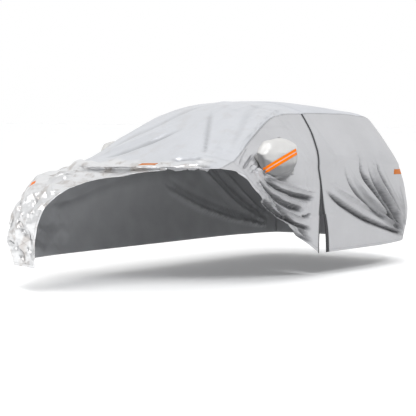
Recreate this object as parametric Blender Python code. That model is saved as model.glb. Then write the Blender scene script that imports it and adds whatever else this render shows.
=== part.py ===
"""Fitted car cover of silver cloth, drawn back from the front left quarter.

Its cloth is a top panel, a right side, a left side in two parts with a zip between, and two mirror pockets.

The cover is hollow. It is built as one draped surface, split along its seams into panels of thin cloth.
Y runs along the car with the front at -Y, +X is the car's left side, and Z is up. The tables below give
heights above the ground; the origin is under the roof, where the cover rests.
"""

import math

import bpy
import numpy as np

# ---------------------------------------------------------------- sizes (metres)
CLOTH = 0.002  # thickness of the coated cloth with its soft lining
SEAM_GAP = 0.0004  # between two pieces that are sewn edge to edge
ROOF_REST = (0.0, 0.45, 1.420)  # the underside of the top panel, above the ground
HEM = 0.190
CROWN_POWER = 2.3  # how square the top is from side to side

# The middle line and the left seam of the top panel, from the front hem over the roof to the rear hem.
# name, middle y, middle z, seam x, seam y, seam z
PROFILE = (
    ("front hem", -1.935, 0.190, 0.550, -1.820, 0.190),
    ("bumper", -1.975, 0.420, 0.600, -1.825, 0.420),
    ("nose", -1.960, 0.620, 0.575, -1.755, 0.610),
    ("bonnet edge", -1.880, 0.740, 0.610, -1.640, 0.725),
    ("bonnet front", -1.620, 0.820, 0.700, -1.430, 0.810),
    ("bonnet rear", -1.250, 0.895, 0.715, -1.120, 0.890),
    ("cowl", -0.930, 0.965, 0.720, -0.790, 0.957),
    ("screen middle", -0.500, 1.190, 0.655, -0.400, 1.140),
    ("screen top", -0.080, 1.377, 0.580, 0.020, 1.312),
    ("roof front", 0.350, 1.427, 0.565, 0.400, 1.330),
    ("roof middle", 0.900, 1.413, 0.560, 0.900, 1.323),
    ("roof rear", 1.380, 1.365, 0.548, 1.300, 1.303),
    ("roof end", 1.610, 1.325, 0.550, 1.500, 1.272),
    ("spoiler", 1.700, 1.250, 0.560, 1.600, 1.200),
    ("rear window", 1.860, 0.980, 0.620, 1.785, 0.955),
    ("tailgate", 1.950, 0.750, 0.680, 1.875, 0.720),
    ("rear bumper", 1.980, 0.520, 0.720, 1.905, 0.500),
    ("rear hem", 1.945, 0.190, 0.690, 1.875, 0.190),
)

# The side's fullest half width, the height of its shoulder and how slowly it turns in above the shoulder.
# y, half width, shoulder z, softness
FLANK = (
    (-1.86, 0.590, 0.45, 3.00),
    (-1.78, 0.650, 0.44, 1.00),
    (-1.66, 0.725, 0.44, 0.70),
    (-1.45, 0.805, 0.56, 1.00),
    (-1.15, 0.858, 0.72, 1.60),
    (-0.75, 0.872, 0.80, 0.70),
    (-0.35, 0.872, 0.88, 0.30),
    (0.35, 0.872, 0.91, 0.24),
    (1.00, 0.872, 0.92, 0.24),
    (1.35, 0.858, 0.90, 0.30),
    (1.60, 0.812, 0.80, 0.42),
    (1.78, 0.770, 0.66, 1.00),
    (1.91, 0.715, 0.50, 3.00),
)
SEAM_PAST = (0.30, 0.45)  # how far past the bonnet edge and the spoiler the side's upper seam is followed
HEM_TUCK = 0.045  # how far the side draws in from its fullest line to the hem


# ---------------------------------------------------------------- edges of the cloth
# Where the cloth that is drawn back ends, over the nose and the bonnet: along the middle line, across.
FREE_TOP = (
    (0.00, -0.245),
    (0.15, -0.220),
    (0.26, -0.190),
    (0.34, -0.160),
    (0.42, -0.120),
    (0.54, -0.065),
    (0.62, -0.030),
    (0.70, -0.020),
    (0.83, -0.045),
    (0.94, -0.010),
    (1.02, 0.060),
    (1.08, 0.140),
    (1.21, 0.220),
    (1.30, 0.350),
    (1.36, 0.480),
    (1.40, 0.610),
    (1.43, 0.720),
)
CORNER = 1.43  # distance along at which the free edge leaves the top panel for the door
# The same edge going on over the door to the foot of the zip: y, z.
FREE_SIDE = (
    (-0.800, 0.885),
    (-0.760, 0.850),
    (-0.700, 0.790),
    (-0.610, 0.725),
    (-0.470, 0.630),
    (-0.320, 0.535),
    (-0.140, 0.430),
    (0.040, 0.330),
    (0.200, 0.248),
    (0.290, 0.205),
)
FREE_BOW = 0.8  # how much the stretch between the two is bowed, from 0 to a quarter oval's 1
# The zip down the left door, closed above and hanging open below.
# height, front panel's edge y, rear panel's edge y, width of the rear tape
ZIP = (
    (1.345, 0.432, 0.455, 0.0108),
    (1.190, 0.372, 0.395, 0.0108),
    (1.050, 0.288, 0.311, 0.0108),
    (0.900, 0.220, 0.243, 0.0108),
    (0.830, 0.238, 0.261, 0.0108),
    (0.760, 0.254, 0.279, 0.012),
    (0.690, 0.260, 0.296, 0.018),
    (0.570, 0.257, 0.330, 0.030),
    (0.400, 0.264, 0.398, 0.042),
    (0.195, 0.290, 0.452, 0.047),
)
ZIP_TAPE = 0.0108  # width of the front tape
ZIP_EASE = 0.15  # height over which the zip's line eases into the seam at its top
ZIP_TOP = (2.957, 2.983)  # distances along at which the panels' zip edges meet the roof seam

# The bunched fold over the bonnet, as rows of the top panel from front to back.
# place along where there is no fold, place along in the full fold, lift
FOLD = (
    (0.000, 0.000, 0.000),
    (0.035, 0.050, 0.004),
    (0.070, 0.085, 0.014),
    (0.100, 0.080, 0.030),
    (0.130, 0.050, 0.036),
    (0.160, 0.030, 0.048),
    (0.190, 0.050, 0.060),
    (0.230, 0.100, 0.062),
    (0.280, 0.170, 0.036),
    (0.330, 0.330, 0.000),
)
FOLD_STARTS = (1.10, 1.28)  # distance along of its first row at the right seam and at the free edge
FOLD_RISES = 0.1  # share of the panel's width over which it rises from the right seam
FOLD_LAPS = 0.4  # share of the width beyond that over which it laps over itself

# ---------------------------------------------------------------- mirror pockets
# The pocket over each mirror: its side (1 is left), its size against the rings below, y and z of its middle.
MIRRORS = (
    ("left", 1, 1.00, -0.350, 1.000),
    ("right", -1, 0.70, -0.255, 0.985),
)
# A pocket's rings from its base out, against its middle.
# shares of the way from the base to the ring along the side and out from it,
# x, y of the middle, half sizes along y and z, lean back per metre up
POCKET_RINGS = (
    (0.30, 0.50, 0.850, -0.059, 0.195, 0.148, -0.32),
    (0.90, 0.95, 0.885, -0.052, 0.220, 0.152, -0.22),
    (1.00, 1.00, 0.925, -0.040, 0.187, 0.140, 0.05),
    (1.00, 1.00, 0.965, -0.020, 0.142, 0.117, 0.18),
    (1.00, 1.00, 0.990, 0.005, 0.075, 0.068, 0.18),
)
POCKET_ROOT_X = 0.80  # from where a smaller pocket's rings are drawn in
POCKET_ROOM = 0.035  # least distance from a ring to the side panel
POCKET_TIP = (0.995, 0.012)  # x and y of its end
POCKET_SQUARE = 2.7  # how square a ring is, 2 for an oval
# Cells left out of a side panel for its pocket: first row, last row, first column, last column.
POCKET_HOLE_LEFT = (4, 12, 6, 13)
POCKET_HOLE_RIGHT = (2, 4, 22, 27)

# ---------------------------------------------------------------- main folds
# Folds in the left side. The right side has its own, more gently, like the rear quarter's.
# name, y and z of the start, middle and end, half width at the start and the end, height
SIDE_FOLDS = (
    ("door crest 1", -0.61, 0.940, -0.27, 0.785, 0.20, 0.670, 0.030, 0.038, 0.020),
    ("door trough 1", -0.58, 0.885, -0.25, 0.735, 0.22, 0.615, 0.026, 0.036, -0.020),
    ("door crest 2", -0.62, 0.860, -0.31, 0.690, 0.05, 0.590, 0.024, 0.034, 0.012),
    ("door trough 2", -0.60, 0.815, -0.20, 0.625, 0.10, 0.500, 0.022, 0.036, -0.016),
    ("door crest 3", -0.62, 0.780, -0.30, 0.610, 0.08, 0.440, 0.024, 0.036, 0.020),
    ("door trough 3", -0.50, 0.665, -0.20, 0.530, 0.10, 0.400, 0.020, 0.030, -0.018),
    ("door trough 4", -0.10, 0.440, 0.06, 0.360, 0.20, 0.300, 0.018, 0.030, -0.014),
    ("quarter crest 1", 0.36, 0.750, 1.00, 0.510, 1.68, 0.300, 0.036, 0.022, 0.018),
    ("quarter trough 1", 0.32, 0.700, 0.96, 0.455, 1.70, 0.255, 0.036, 0.024, -0.028),
    ("quarter trough 2", 0.60, 0.900, 0.84, 0.670, 1.35, 0.380, 0.036, 0.028, -0.016),
    ("quarter trough 3", 0.84, 0.980, 1.08, 0.750, 1.64, 0.330, 0.062, 0.030, -0.028),
    ("quarter crest 3", 1.06, 0.900, 1.32, 0.640, 1.74, 0.340, 0.045, 0.022, 0.022),
    ("quarter trough 4", 1.12, 0.880, 1.42, 0.680, 1.70, 0.430, 0.042, 0.022, -0.022),
)
FAR_SIDE = 0.6  # height of the right side's folds against the left's
# Folds in the top.
# name, x and y of the start, middle and end, half width at the start and the end, height
TOP_FOLDS = (
    ("screen dart", 0.44, -0.740, 0.27, -0.500, 0.06, -0.150, 0.035, 0.055, -0.014),
    ("screen ridge", -0.62, -0.760, -0.31, -0.600, -0.04, -0.320, 0.050, 0.050, 0.014),
    ("screen valley", -0.50, -0.840, -0.20, -0.680, 0.04, -0.420, 0.040, 0.045, -0.010),
    ("pillar crease", 0.62, -0.550, 0.52, 0.000, 0.40, 0.350, 0.035, 0.045, 0.010),
)

# ---------------------------------------------------------------- reflective strips
STRIP_THICK = 0.0010
STRIP_LIFT = 0.0004  # between a strip and the cloth it is sewn on
STRIP_DEPTH = 0.046  # how far a strip's outline reaches through the cloth, each way
STRIP_SPARE = 0.09  # how far past a strip's ends the cloth under it is taken
STRIP_FACING = 0.2  # least share in which that cloth looks the strip's way
# panel, middle, direction along the strip, direction out of the cloth, length, width
STRIPS = {
    "strip_mirror_left": (
        "mirror_pocket_left",
        (0.9573, -0.4351, 0.9744),
        (0.096, 0.294, 0.141),
        (0.60, -0.79, 0.07),
        0.360,
        0.046,
    ),
    "strip_mirror_right": (
        "mirror_pocket_right",
        (-0.886, -0.343, 0.950),
        (-0.096, 0.294, 0.141),
        (-0.50, -0.86, 0.07),
        0.300,
        0.034,
    ),
    "strip_bonnet": (
        "top_panel",
        (0.10, -1.01, 0.975),
        (1.00, 0.06, 0.00),
        (0.0, -0.1, 1.0),
        0.155,
        0.060,
    ),
    "strip_front_right": (
        "top_panel",
        (-0.617, -1.541, 0.791),
        (0.605, -0.797, -0.13),
        (-0.24, -0.36, 0.90),
        0.180,
        0.036,
    ),
    "strip_rear_left": (
        "side_left_rear",
        (0.800, 1.640, 0.812),
        (-0.30, 0.95, -0.03),
        (0.97, 0.24, 0.0),
        0.300,
        0.044,
    ),
}

# ---------------------------------------------------------------- colours
# name: colour, metallic, roughness
FINISHES = {
    "top_panel": ((0.66, 0.67, 0.69), 0.6, 0.40),
    "side": ((0.60, 0.60, 0.62), 0.5, 0.48),
    "mirror_pocket": ((0.72, 0.72, 0.73), 0.7, 0.30),
    "zip_tape": ((0.06, 0.06, 0.07), 0.0, 0.70),
    "strip": ((0.90, 0.30, 0.04), 0.0, 0.45),
}

# ---------------------------------------------------------------- grids
FRONT_ROWS = 12
FREE_ROWS = 6
SCREEN_ROWS = 20
ROOF_ROWS = 26
REAR_ROWS = 12
ACROSS = 10
DOOR_ROWS = 24
QUARTER_ROWS = DOOR_ROWS
HEM_GATHER = 1.6  # how the rear panel's columns crowd towards the rear corner at the hem
HEM_EASE = 0.45  # length over which a hem's line eases into its corners
FREE_START = 0.04  # how much further along the free edge's rows start, past the bonnet edge
FOLD_POINTS = 24  # points along a fold when its nearest place is looked for
FOLD_ENDS = 0.12  # share of a fold's length over which it runs out at each end
FOLD_END_HEIGHT = 0.25
FINE = 400  # points along a curve when places on it are looked for
STEP = 0.001  # for finding the slope of the top
TINY = 1e-12
RIM_ORDER = np.array([0.37, 1.0, 1.7])  # two sewn edges cut their end faces along the same diagonals
CAR_MIDDLE = (1.4, 0.5)  # half length and height of a line along the car's middle
POCKET_ROOT = 0.85  # how far out the middle of a mirror pocket lies, as a share of its points' mean


# ---------------------------------------------------------------- curves and patches
def smooth(knots, values, at):
    """Values along a smooth curve through the knots."""
    knots = np.asarray(knots, float)
    values = np.asarray(values, float)
    at = np.clip(np.asarray(at, float), knots[0], knots[-1])
    step = np.diff(knots)
    slope = np.diff(values) / step
    middle = (slope[:-1] * step[1:] + slope[1:] * step[:-1]) / (step[:-1] + step[1:])
    lean = np.concatenate([[slope[0]], middle, [slope[-1]]])
    i = np.clip(np.searchsorted(knots, at, side="right") - 1, 0, len(step) - 1)
    t = (at - knots[i]) / step[i]
    return (
        values[i] * (1 + 2 * t) * (1 - t) ** 2
        + lean[i] * step[i] * t * (1 - t) ** 2
        + values[i + 1] * t * t * (3 - 2 * t)
        + lean[i + 1] * step[i] * t * t * (t - 1)
    )


def column(table, k):
    return np.array([row[k] for row in table], float)


LENGTHS = np.concatenate(
    [[0], np.cumsum(np.hypot(np.diff(column(PROFILE, 1)), np.diff(column(PROFILE, 2))))]
)


def along(name):
    """Distance along the middle line of a row of PROFILE."""
    return float(LENGTHS[[row[0] for row in PROFILE].index(name)])


def seam(u):
    """The left seam at distances u along the middle line."""
    return np.stack([smooth(LENGTHS, column(PROFILE, k), u) for k in (3, 4, 5)], axis=-1)


def top(x, u):
    """The top panel's surface at x across and u along."""
    edge = seam(u)
    y = smooth(LENGTHS, column(PROFILE, 1), u)
    z = smooth(LENGTHS, column(PROFILE, 2), u)
    w = np.clip(np.abs(x) / edge[..., 0], 0, 1.2) ** CROWN_POWER
    return np.stack([x, y + (edge[..., 1] - y) * w, z + (edge[..., 2] - z) * w], axis=-1)


def seam_at(y):
    """x and z of the seam over the side at y, on its long upper stretch."""
    u = np.linspace(along("bonnet edge") - SEAM_PAST[0], along("spoiler") + SEAM_PAST[1], FINE)
    line = seam(u)
    order = np.argsort(line[:, 1])
    return [np.interp(y, line[order, 1], line[order, k]) for k in (0, 2)]


def flank(y, z):
    """Half width of the side at y and z."""
    full, shoulder, soft = (smooth(column(FLANK, 0), column(FLANK, k), y) for k in (1, 2, 3))
    edge_x, edge_z = seam_at(y)
    up = np.clip((z - shoulder) / np.maximum(edge_z - shoulder, 0.05), 0, 1.3)
    down = np.clip((shoulder - z) / (shoulder - HEM), 0, 1.1)
    turned = (np.hypot(up, soft) - soft) / (np.hypot(1, soft) - soft)
    return full - (full - edge_x) * turned - HEM_TUCK * down**2


def coons(upper, lower, left, right):
    """A grid between four edges, rows down from upper to lower, columns from left to right."""
    s = np.linspace(0, 1, len(upper))[None, :, None]
    t = np.linspace(0, 1, len(left))[:, None, None]
    flat = (
        (1 - s) * (1 - t) * upper[0]
        + s * (1 - t) * upper[-1]
        + (1 - s) * t * lower[0]
        + s * t * lower[-1]
    )
    return (
        (1 - t) * upper[None]
        + t * lower[None]
        + (1 - s) * left[:, None]
        + s * right[:, None]
        - flat
    )


def side_patch(upper, lower, left, right):
    """A side panel's grid: flat in y and z between its edges and bulged out to the flank."""
    edges = [np.array(e, float) for e in (upper, lower, left, right)]
    grid = coons(*edges)
    miss = [np.stack([e[:, 0] - flank(e[:, 1], e[:, 2])], axis=-1) for e in edges]
    grid[..., 0] = flank(grid[..., 1], grid[..., 2]) + coons(*miss)[..., 0]
    return grid


def evenly(points, n):
    """n + 1 points spread evenly along a smooth curve through the points."""
    points = np.asarray(points, float)
    run = np.concatenate([[0], np.cumsum(np.linalg.norm(np.diff(points, axis=0), axis=1))])
    fine = np.linspace(0, run[-1], FINE)
    line = np.stack([smooth(run, points[:, k], fine) for k in range(points.shape[1])], axis=-1)
    far = np.concatenate([[0], np.cumsum(np.linalg.norm(np.diff(line, axis=0), axis=1))])
    at = np.linspace(0, far[-1], n + 1)
    return np.stack([np.interp(at, far, line[:, k]) for k in range(points.shape[1])], axis=-1)


def top_stations():
    """Distances along of the top panel's rows, at its right edge and at its left edge."""
    edge = along("bonnet edge")
    right = list(np.linspace(0, edge, FRONT_ROWS, endpoint=False))
    left = list(np.linspace(0, edge + FREE_START, FRONT_ROWS, endpoint=False))
    right += list(np.linspace(edge, FOLD_STARTS[0], FREE_ROWS, endpoint=False))
    left += list(np.linspace(edge + FREE_START, FOLD_STARTS[1], FREE_ROWS, endpoint=False))
    spare = (CORNER - FOLD_STARTS[0], CORNER - FOLD_STARTS[1])
    right += [FOLD_STARTS[0] + row[0] / FOLD[-1][0] * spare[0] for row in FOLD]
    left += [FOLD_STARTS[1] + row[1] / FOLD[-1][0] * spare[1] for row in FOLD]
    back = (
        list(np.linspace(CORNER, ZIP_TOP[0], SCREEN_ROWS + 1)[1:])
        + list(np.linspace(ZIP_TOP[1], along("spoiler"), ROOF_ROWS, endpoint=False))
        + list(np.linspace(along("spoiler"), LENGTHS[-1], REAR_ROWS + 1))
    )
    return np.array(right + back), np.array(left + back)


def top_grid():
    """The top panel's points, rows from front to back and columns from right to left."""
    right, left = top_stations()
    c = np.linspace(0, 1, ACROSS + 1)
    rows = len(right)
    first_fold = FRONT_ROWS + FREE_ROWS
    u = right[:, None] + (left - right)[:, None] * c
    lift = np.zeros((rows, ACROSS + 1))
    risen = np.clip(c / FOLD_RISES, 0, 1)
    lapped = np.clip((c - FOLD_RISES) / FOLD_LAPS, 0, 1)
    start = FOLD_STARTS[0] + (FOLD_STARTS[1] - FOLD_STARTS[0]) * c
    share = (CORNER - start) / FOLD[-1][0]
    for k, (flat, folded, high) in enumerate(FOLD):
        u[first_fold + k] = start + share * (flat + (folded - flat) * lapped)
        lift[first_fold + k] = high * risen * share
    free = column(FREE_TOP, 0) <= CORNER
    free_x = smooth(column(FREE_TOP, 0)[free], column(FREE_TOP, 1)[free], u[:, -1])
    half = seam(u)[..., 0]
    left_x = np.where(u[:, -1] < CORNER - 1e-6, free_x, half[:, -1])
    x = -half + c * (left_x[:, None] + half)
    x[:, 0] = -half[:, 0]
    return raised(x, u, lift)


def raised(x, u, lift):
    """Points of the top at x and u, lifted off it along its normal."""
    across = top(x + STEP, u) - top(x - STEP, u)
    onward = top(x, u + STEP) - top(x, u - STEP)
    normal = np.cross(across, onward)
    normal /= np.linalg.norm(normal, axis=-1, keepdims=True)
    return top(x, u) + normal * lift[..., None]


def quads(rows, columns, hole=None):
    """Faces of a grid of points, without the cells of the hole: first and last row, first and last column."""
    faces = []
    for i in range(rows - 1):
        for j in range(columns - 1):
            if hole and hole[0] <= i < hole[1] and hole[2] <= j < hole[3]:
                continue
            a = i * columns + j
            faces.append((a, a + 1, a + columns + 1, a + columns))
    return faces


def zip_edge(k, heights):
    """y of a panel's zip edge at the given heights: k is 1 for the front edge and 2 for the rear one."""
    return smooth(-column(ZIP, 0), column(ZIP, k), -np.asarray(heights))


def zip_line(k, start):
    """Points down a panel's zip edge, from the seam point it starts at to the hem."""
    z = np.linspace(start[2], ZIP[-1][0], DOOR_ROWS + 1)
    y = zip_edge(k, z)
    points = np.stack([flank(y, z), y, z], axis=-1)
    fade = np.clip(1 - (start[2] - z) / ZIP_EASE, 0, 1)[:, None]
    return points + (start - points[0]) * fade


def bowed(start, end, n):
    """n + 1 points of the short free edge at the door's top corner, which turns down towards its end."""
    share = np.linspace(0, 1, n + 1)
    turn = share * math.pi / 2
    level = share + (np.sin(turn) - share) * FREE_BOW
    drop = share + (1 - np.cos(turn) - share) * FREE_BOW
    return start + (end - start) * np.stack([level, level, drop], axis=-1)


def hem_line(start, end, shares):
    """Points along a side's hem at shares of the way, true to the corners it joins."""
    y = start[1] + (end[1] - start[1]) * shares
    z = start[2] + (end[2] - start[2]) * shares
    points = np.stack([flank(y, z), y, z], axis=-1)
    for corner in (start, end):
        miss = corner[0] - flank(corner[1], corner[2])
        near = np.clip(1 - np.abs(y - corner[1]) / HEM_EASE, 0, 1)
        points[:, 0] += miss * near * near * (3 - 2 * near)
    return points


def tape_grid(edge, width, side):
    """A zip tape down a panel's edge, reaching width out from it towards side."""
    outer = edge.copy()
    outer[:, 1] += side * width
    outer[:, 0] = edge[:, 0] + flank(outer[:, 1], outer[:, 2]) - flank(edge[:, 1], edge[:, 2])
    return np.stack([edge, outer], axis=1)


def loop_of(block, columns):
    """Indices round the edge of a block of cells in a grid, in turn."""
    r0, r1, c0, c1 = block
    ring = [(r0, c) for c in range(c0, c1)] + [(r, c1) for r in range(r0, r1)]
    ring += [(r1, c) for c in range(c1, c0, -1)] + [(r, c0) for r in range(r1, r0, -1)]
    return [r * columns + c for r, c in ring]


def pouch(base, mirror):
    """A mirror pocket: rings of points from its sewn base out over the mirror to a tip."""
    _, side, size, middle_y, middle_z = mirror
    flat = base[:, 1:] - base[:, 1:].mean(axis=0)
    angle = np.arctan2(flat[:, 1], flat[:, 0])
    around = np.stack([np.cos(angle), np.sin(angle)], axis=-1)
    around = np.sign(around) * np.abs(around) ** (2 / POCKET_SQUARE)
    rings = [base]
    for along_side, outward, x, y, half_y, half_z, lean in POCKET_RINGS:
        rise = around[:, 1] * half_z
        ahead = y + around[:, 0] * half_y + lean * rise
        aim_y, aim_z = middle_y + ahead * size, middle_z + rise * size
        out = np.maximum(POCKET_ROOT_X + (x - POCKET_ROOT_X) * size, flank(aim_y, aim_z) + POCKET_ROOM)
        aim = np.stack([side * out, aim_y, aim_z], axis=-1)
        rings.append(base + (aim - base) * np.array([outward, along_side, along_side]))
    tip_x = side * (POCKET_ROOT_X + (POCKET_TIP[0] - POCKET_ROOT_X) * size)
    tip = np.array([[tip_x, middle_y + POCKET_TIP[1] * size, middle_z]])
    n = len(base)
    faces = []
    for r in range(len(POCKET_RINGS)):
        for k in range(n):
            faces.append((r * n + k, r * n + (k + 1) % n, (r + 1) * n + (k + 1) % n, (r + 1) * n + k))
    last = len(POCKET_RINGS) * n
    faces += [(last + k, last + (k + 1) % n, last + n) for k in range(n)]
    return np.concatenate(rings + [tip]), faces


def fold_lift(places, folds):
    """How far the folds of a table lift each place, given as points of the plane they are drawn in."""
    lift = np.zeros(len(places))
    for _, a0, b0, a1, b1, a2, b2, wide0, wide2, high in folds:
        path = evenly([(a0, b0), (a1, b1), (a2, b2)], FOLD_POINTS)
        share = np.linspace(0, 1, len(path))
        away = np.linalg.norm(places[:, None] - path[None], axis=2)
        nearest = away.argmin(axis=1)
        wide = wide0 + (wide2 - wide0) * share[nearest]
        across = np.clip(away.min(axis=1) / wide, 0, 1)
        ends = np.clip(np.minimum(share, 1 - share)[nearest] / FOLD_ENDS, FOLD_END_HEIGHT, 1)
        lift += high * ends * (1 - across**2) ** 2
    return lift


# ---------------------------------------------------------------- the whole cloth
def build_cloth():
    """Every piece's points and faces on one draped surface, before folds and thickness."""
    pieces = {}
    strip = top_grid()
    rows, columns = strip.shape[:2]
    fold_end = FRONT_ROWS + FREE_ROWS + len(FOLD) - 1
    zip_front = fold_end + SCREEN_ROWS
    zip_rear = zip_front + 1
    rear_top = zip_rear + ROOF_ROWS
    pieces["top_panel"] = [strip.reshape(-1, 3), quads(rows, columns)]

    right = strip[:, 0] * np.array([-1, 1, 1])
    upper = right[FRONT_ROWS : rear_top + 1]
    shares = (upper[:, 1] - upper[0, 1]) / (upper[-1, 1] - upper[0, 1])
    lower = hem_line(right[0], right[-1], shares)
    grid = side_patch(upper, lower, right[FRONT_ROWS::-1], right[rear_top:])
    grid[..., 0] *= -1
    pieces["side_right"] = [grid.reshape(-1, 3), quads(*grid.shape[:2], POCKET_HOLE_RIGHT)]
    loop = loop_of(POCKET_HOLE_RIGHT, grid.shape[1])
    pieces["mirror_pocket_right"] = list(pouch(grid.reshape(-1, 3)[loop], MIRRORS[1]))

    left = strip[:, -1]
    front_edge = zip_line(1, left[zip_front])
    free = evenly(FREE_SIDE, SCREEN_ROWS)
    lower = np.stack([flank(free[:, 0], free[:, 1]), free[:, 0], free[:, 1]], axis=-1)
    lower[-1] = front_edge[-1]
    short = bowed(left[fold_end], lower[0], DOOR_ROWS)
    grid = side_patch(left[fold_end : zip_front + 1], lower, short, front_edge)
    pieces["side_left_front"] = [grid.reshape(-1, 3), quads(*grid.shape[:2], POCKET_HOLE_LEFT)]
    loop = loop_of(POCKET_HOLE_LEFT, grid.shape[1])
    pieces["mirror_pocket_left"] = list(pouch(grid.reshape(-1, 3)[loop], MIRRORS[0]))

    rear_edge = zip_line(2, left[zip_rear])
    corner = left[rear_top:]
    halves = np.repeat(corner, 2, axis=0)[:-1]
    halves[1::2] = (corner[:-1] + corner[1:]) / 2
    shares = 1 - (1 - np.linspace(0, 1, ROOF_ROWS + 1)) ** HEM_GATHER
    lower = hem_line(rear_edge[-1], corner[-1], shares)
    grid = side_patch(left[zip_rear : rear_top + 1], lower, rear_edge, halves)
    pieces["side_left_rear"] = [grid.reshape(-1, 3), quads(*grid.shape[:2])]

    rear_width = smooth(-column(ZIP, 0), column(ZIP, 3), -rear_edge[:, 2])
    for name, edge, width, side in (
        ("zip_tape_front", front_edge, np.full(DOOR_ROWS + 1, ZIP_TAPE), 1),
        ("zip_tape_rear", rear_edge, rear_width, -1),
    ):
        grid = tape_grid(edge, width, side)
        pieces[name] = [grid.reshape(-1, 3), quads(*grid.shape[:2])]
    return pieces


def halved(points, faces):
    """The faces as triangles, each four-sided one cut along its shorter diagonal."""
    out = []
    for face in faces:
        if len(face) == 3:
            out.append(face)
            continue
        a, b, c, d = face
        if np.linalg.norm(points[a] - points[c]) <= np.linalg.norm(points[b] - points[d]):
            out += [(a, b, c), (a, c, d)]
        else:
            out += [(a, b, d), (b, c, d)]
    return out


def directions(points, faces):
    """Outward directions at the points of a set of triangles."""
    total = np.zeros_like(points)
    a, b, c = np.array(faces).T
    for corner, ahead, behind in ((a, b, c), (b, c, a), (c, a, b)):
        one, two = points[ahead] - points[corner], points[behind] - points[corner]
        normal = np.cross(one, two)
        size = np.linalg.norm(normal, axis=1, keepdims=True)
        angle = np.arctan2(size, (one * two).sum(axis=1, keepdims=True))
        np.add.at(total, corner, normal / np.maximum(size, TINY) * angle)
    return total / np.maximum(np.linalg.norm(total, axis=1, keepdims=True), TINY)


def face_outward(name, points, faces):
    """The faces turned to look away from the car's middle line, or from a mirror pocket's middle."""
    a, b, c = (points[[f[k] for f in faces]] for k in range(3))
    middle = (a + b + c) / 3
    if name.startswith("mirror"):
        inside = points.mean(axis=0) * np.array([POCKET_ROOT, 1, 1])
    else:
        inside = middle * np.array([0, 1, 0]) + np.array([0, 0, CAR_MIDDLE[1]])
        inside[:, 1] = np.clip(inside[:, 1], -CAR_MIDDLE[0], CAR_MIDDLE[0])
    if (np.cross(b - a, c - a) * (middle - inside)).sum() < 0:
        return [tuple(reversed(f)) for f in faces]
    return faces


def weld(pieces):
    """One numbering for all pieces' points, in which sewn edges share their points."""
    everything = np.concatenate([points for points, _ in pieces.values()])
    _, first, index = np.unique(np.round(everything, 5), axis=0, return_index=True, return_inverse=True)
    index = index.reshape(-1)
    places, start = {}, 0
    for name, (points, _) in pieces.items():
        places[name] = index[start : start + len(points)]
        start += len(points)
    return everything[first], places


def edge_counts(faces):
    """How many faces use each edge, as a dictionary of sorted pairs."""
    counts = {}
    for face in faces:
        for a, b in zip(face, face[1:] + face[:1]):
            pair = (min(a, b), max(a, b))
            counts[pair] = counts.get(pair, 0) + 1
    return counts


def between_points(places):
    """Points along another piece's longer edge: the point, that edge's ends and the share between them."""
    quarter = places["side_left_rear"].reshape(QUARTER_ROWS + 1, ROOF_ROWS + 1)
    seam_points = quarter[:, -1]
    ties = [(seam_points[k], seam_points[k - 1], seam_points[k + 1], 0.5) for k in range(1, QUARTER_ROWS, 2)]
    front, rear = places["zip_tape_front"], places["zip_tape_rear"]
    share = ZIP_TAPE / (ZIP[0][2] - ZIP[0][1])
    ties += [(front[1], front[0], rear[0], share), (rear[1], rear[0], front[0], share)]
    return ties


def tied(values, ties):
    """The values with those of the points between set from the ends they lie between."""
    values = values.copy()
    for point, start, end, share in ties:
        values[point] = values[start] + (values[end] - values[start]) * share
    return values


def draped():
    """The pieces' outer points with their folds, outward directions, triangles, and which points are sewn."""
    pieces = build_cloth()
    for name, piece in pieces.items():
        piece[1] = face_outward(name, *piece)
    points, places = weld(pieces)
    points = folded(points, pieces, places)
    ties = between_points(places)
    points = tied(points, ties)
    faces = {name: halved(points[places[name]], fs) for name, (_, fs) in pieces.items()}
    normals = directions(points, [tuple(places[name][list(f)]) for name in pieces for f in faces[name]])
    normals = tied(normals, ties)
    shared = np.zeros(len(points), int)
    for name, fs in faces.items():
        shared[np.unique(places[name][np.array(fs)])] += 1
    sewn = shared > 1
    sewn[[point for point, _, _, _ in ties]] = True
    return {
        name: (points[own], normals[own], faces[name], sewn[own]) for name, own in places.items()
    }


def folded(points, pieces, places):
    """The cloth's points lifted by its main folds."""
    faces = [tuple(places[name][list(f)]) for name, (own, fs) in pieces.items() for f in halved(own, fs)]
    normals = directions(points, faces)
    side = np.unique(np.concatenate([places["side_left_front"], places["side_left_rear"]]))
    upper = np.unique(places["top_panel"])
    far = np.unique(places["side_right"])
    rear_folds = [fold for fold in SIDE_FOLDS if fold[0].startswith("quarter")]
    points = points.copy()
    points[side] += normals[side] * fold_lift(points[side][:, 1:], SIDE_FOLDS)[:, None]
    points[far] += normals[far] * fold_lift(points[far][:, 1:], rear_folds)[:, None] * FAR_SIDE
    points[upper] += normals[upper] * fold_lift(points[upper][:, :2], TOP_FOLDS)[:, None]
    return points


def trimmed(points, normals, faces, sewn):
    """The points drawn back a little from the edges that are sewn to other pieces."""
    once = {pair for pair, count in edge_counts(faces).items() if count == 1}
    pulls = {}
    for face in faces:
        for a, b in zip(face, face[1:] + face[:1]):
            if (min(a, b), max(a, b)) in once and sewn[a] and sewn[b]:
                along_edge = points[b] - points[a]
                for corner in (a, b):
                    inward = np.cross(normals[corner], along_edge)
                    pulls.setdefault(corner, []).append(inward / np.linalg.norm(inward))
    points = points.copy()
    for corner, inward in pulls.items():
        total = np.sum(inward, axis=0)
        spread = 1 + float(inward[0] @ inward[-1]) if len(inward) > 1 else 1
        points[corner] += total / max(spread, 0.5) * SEAM_GAP / 2
    return points


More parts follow.
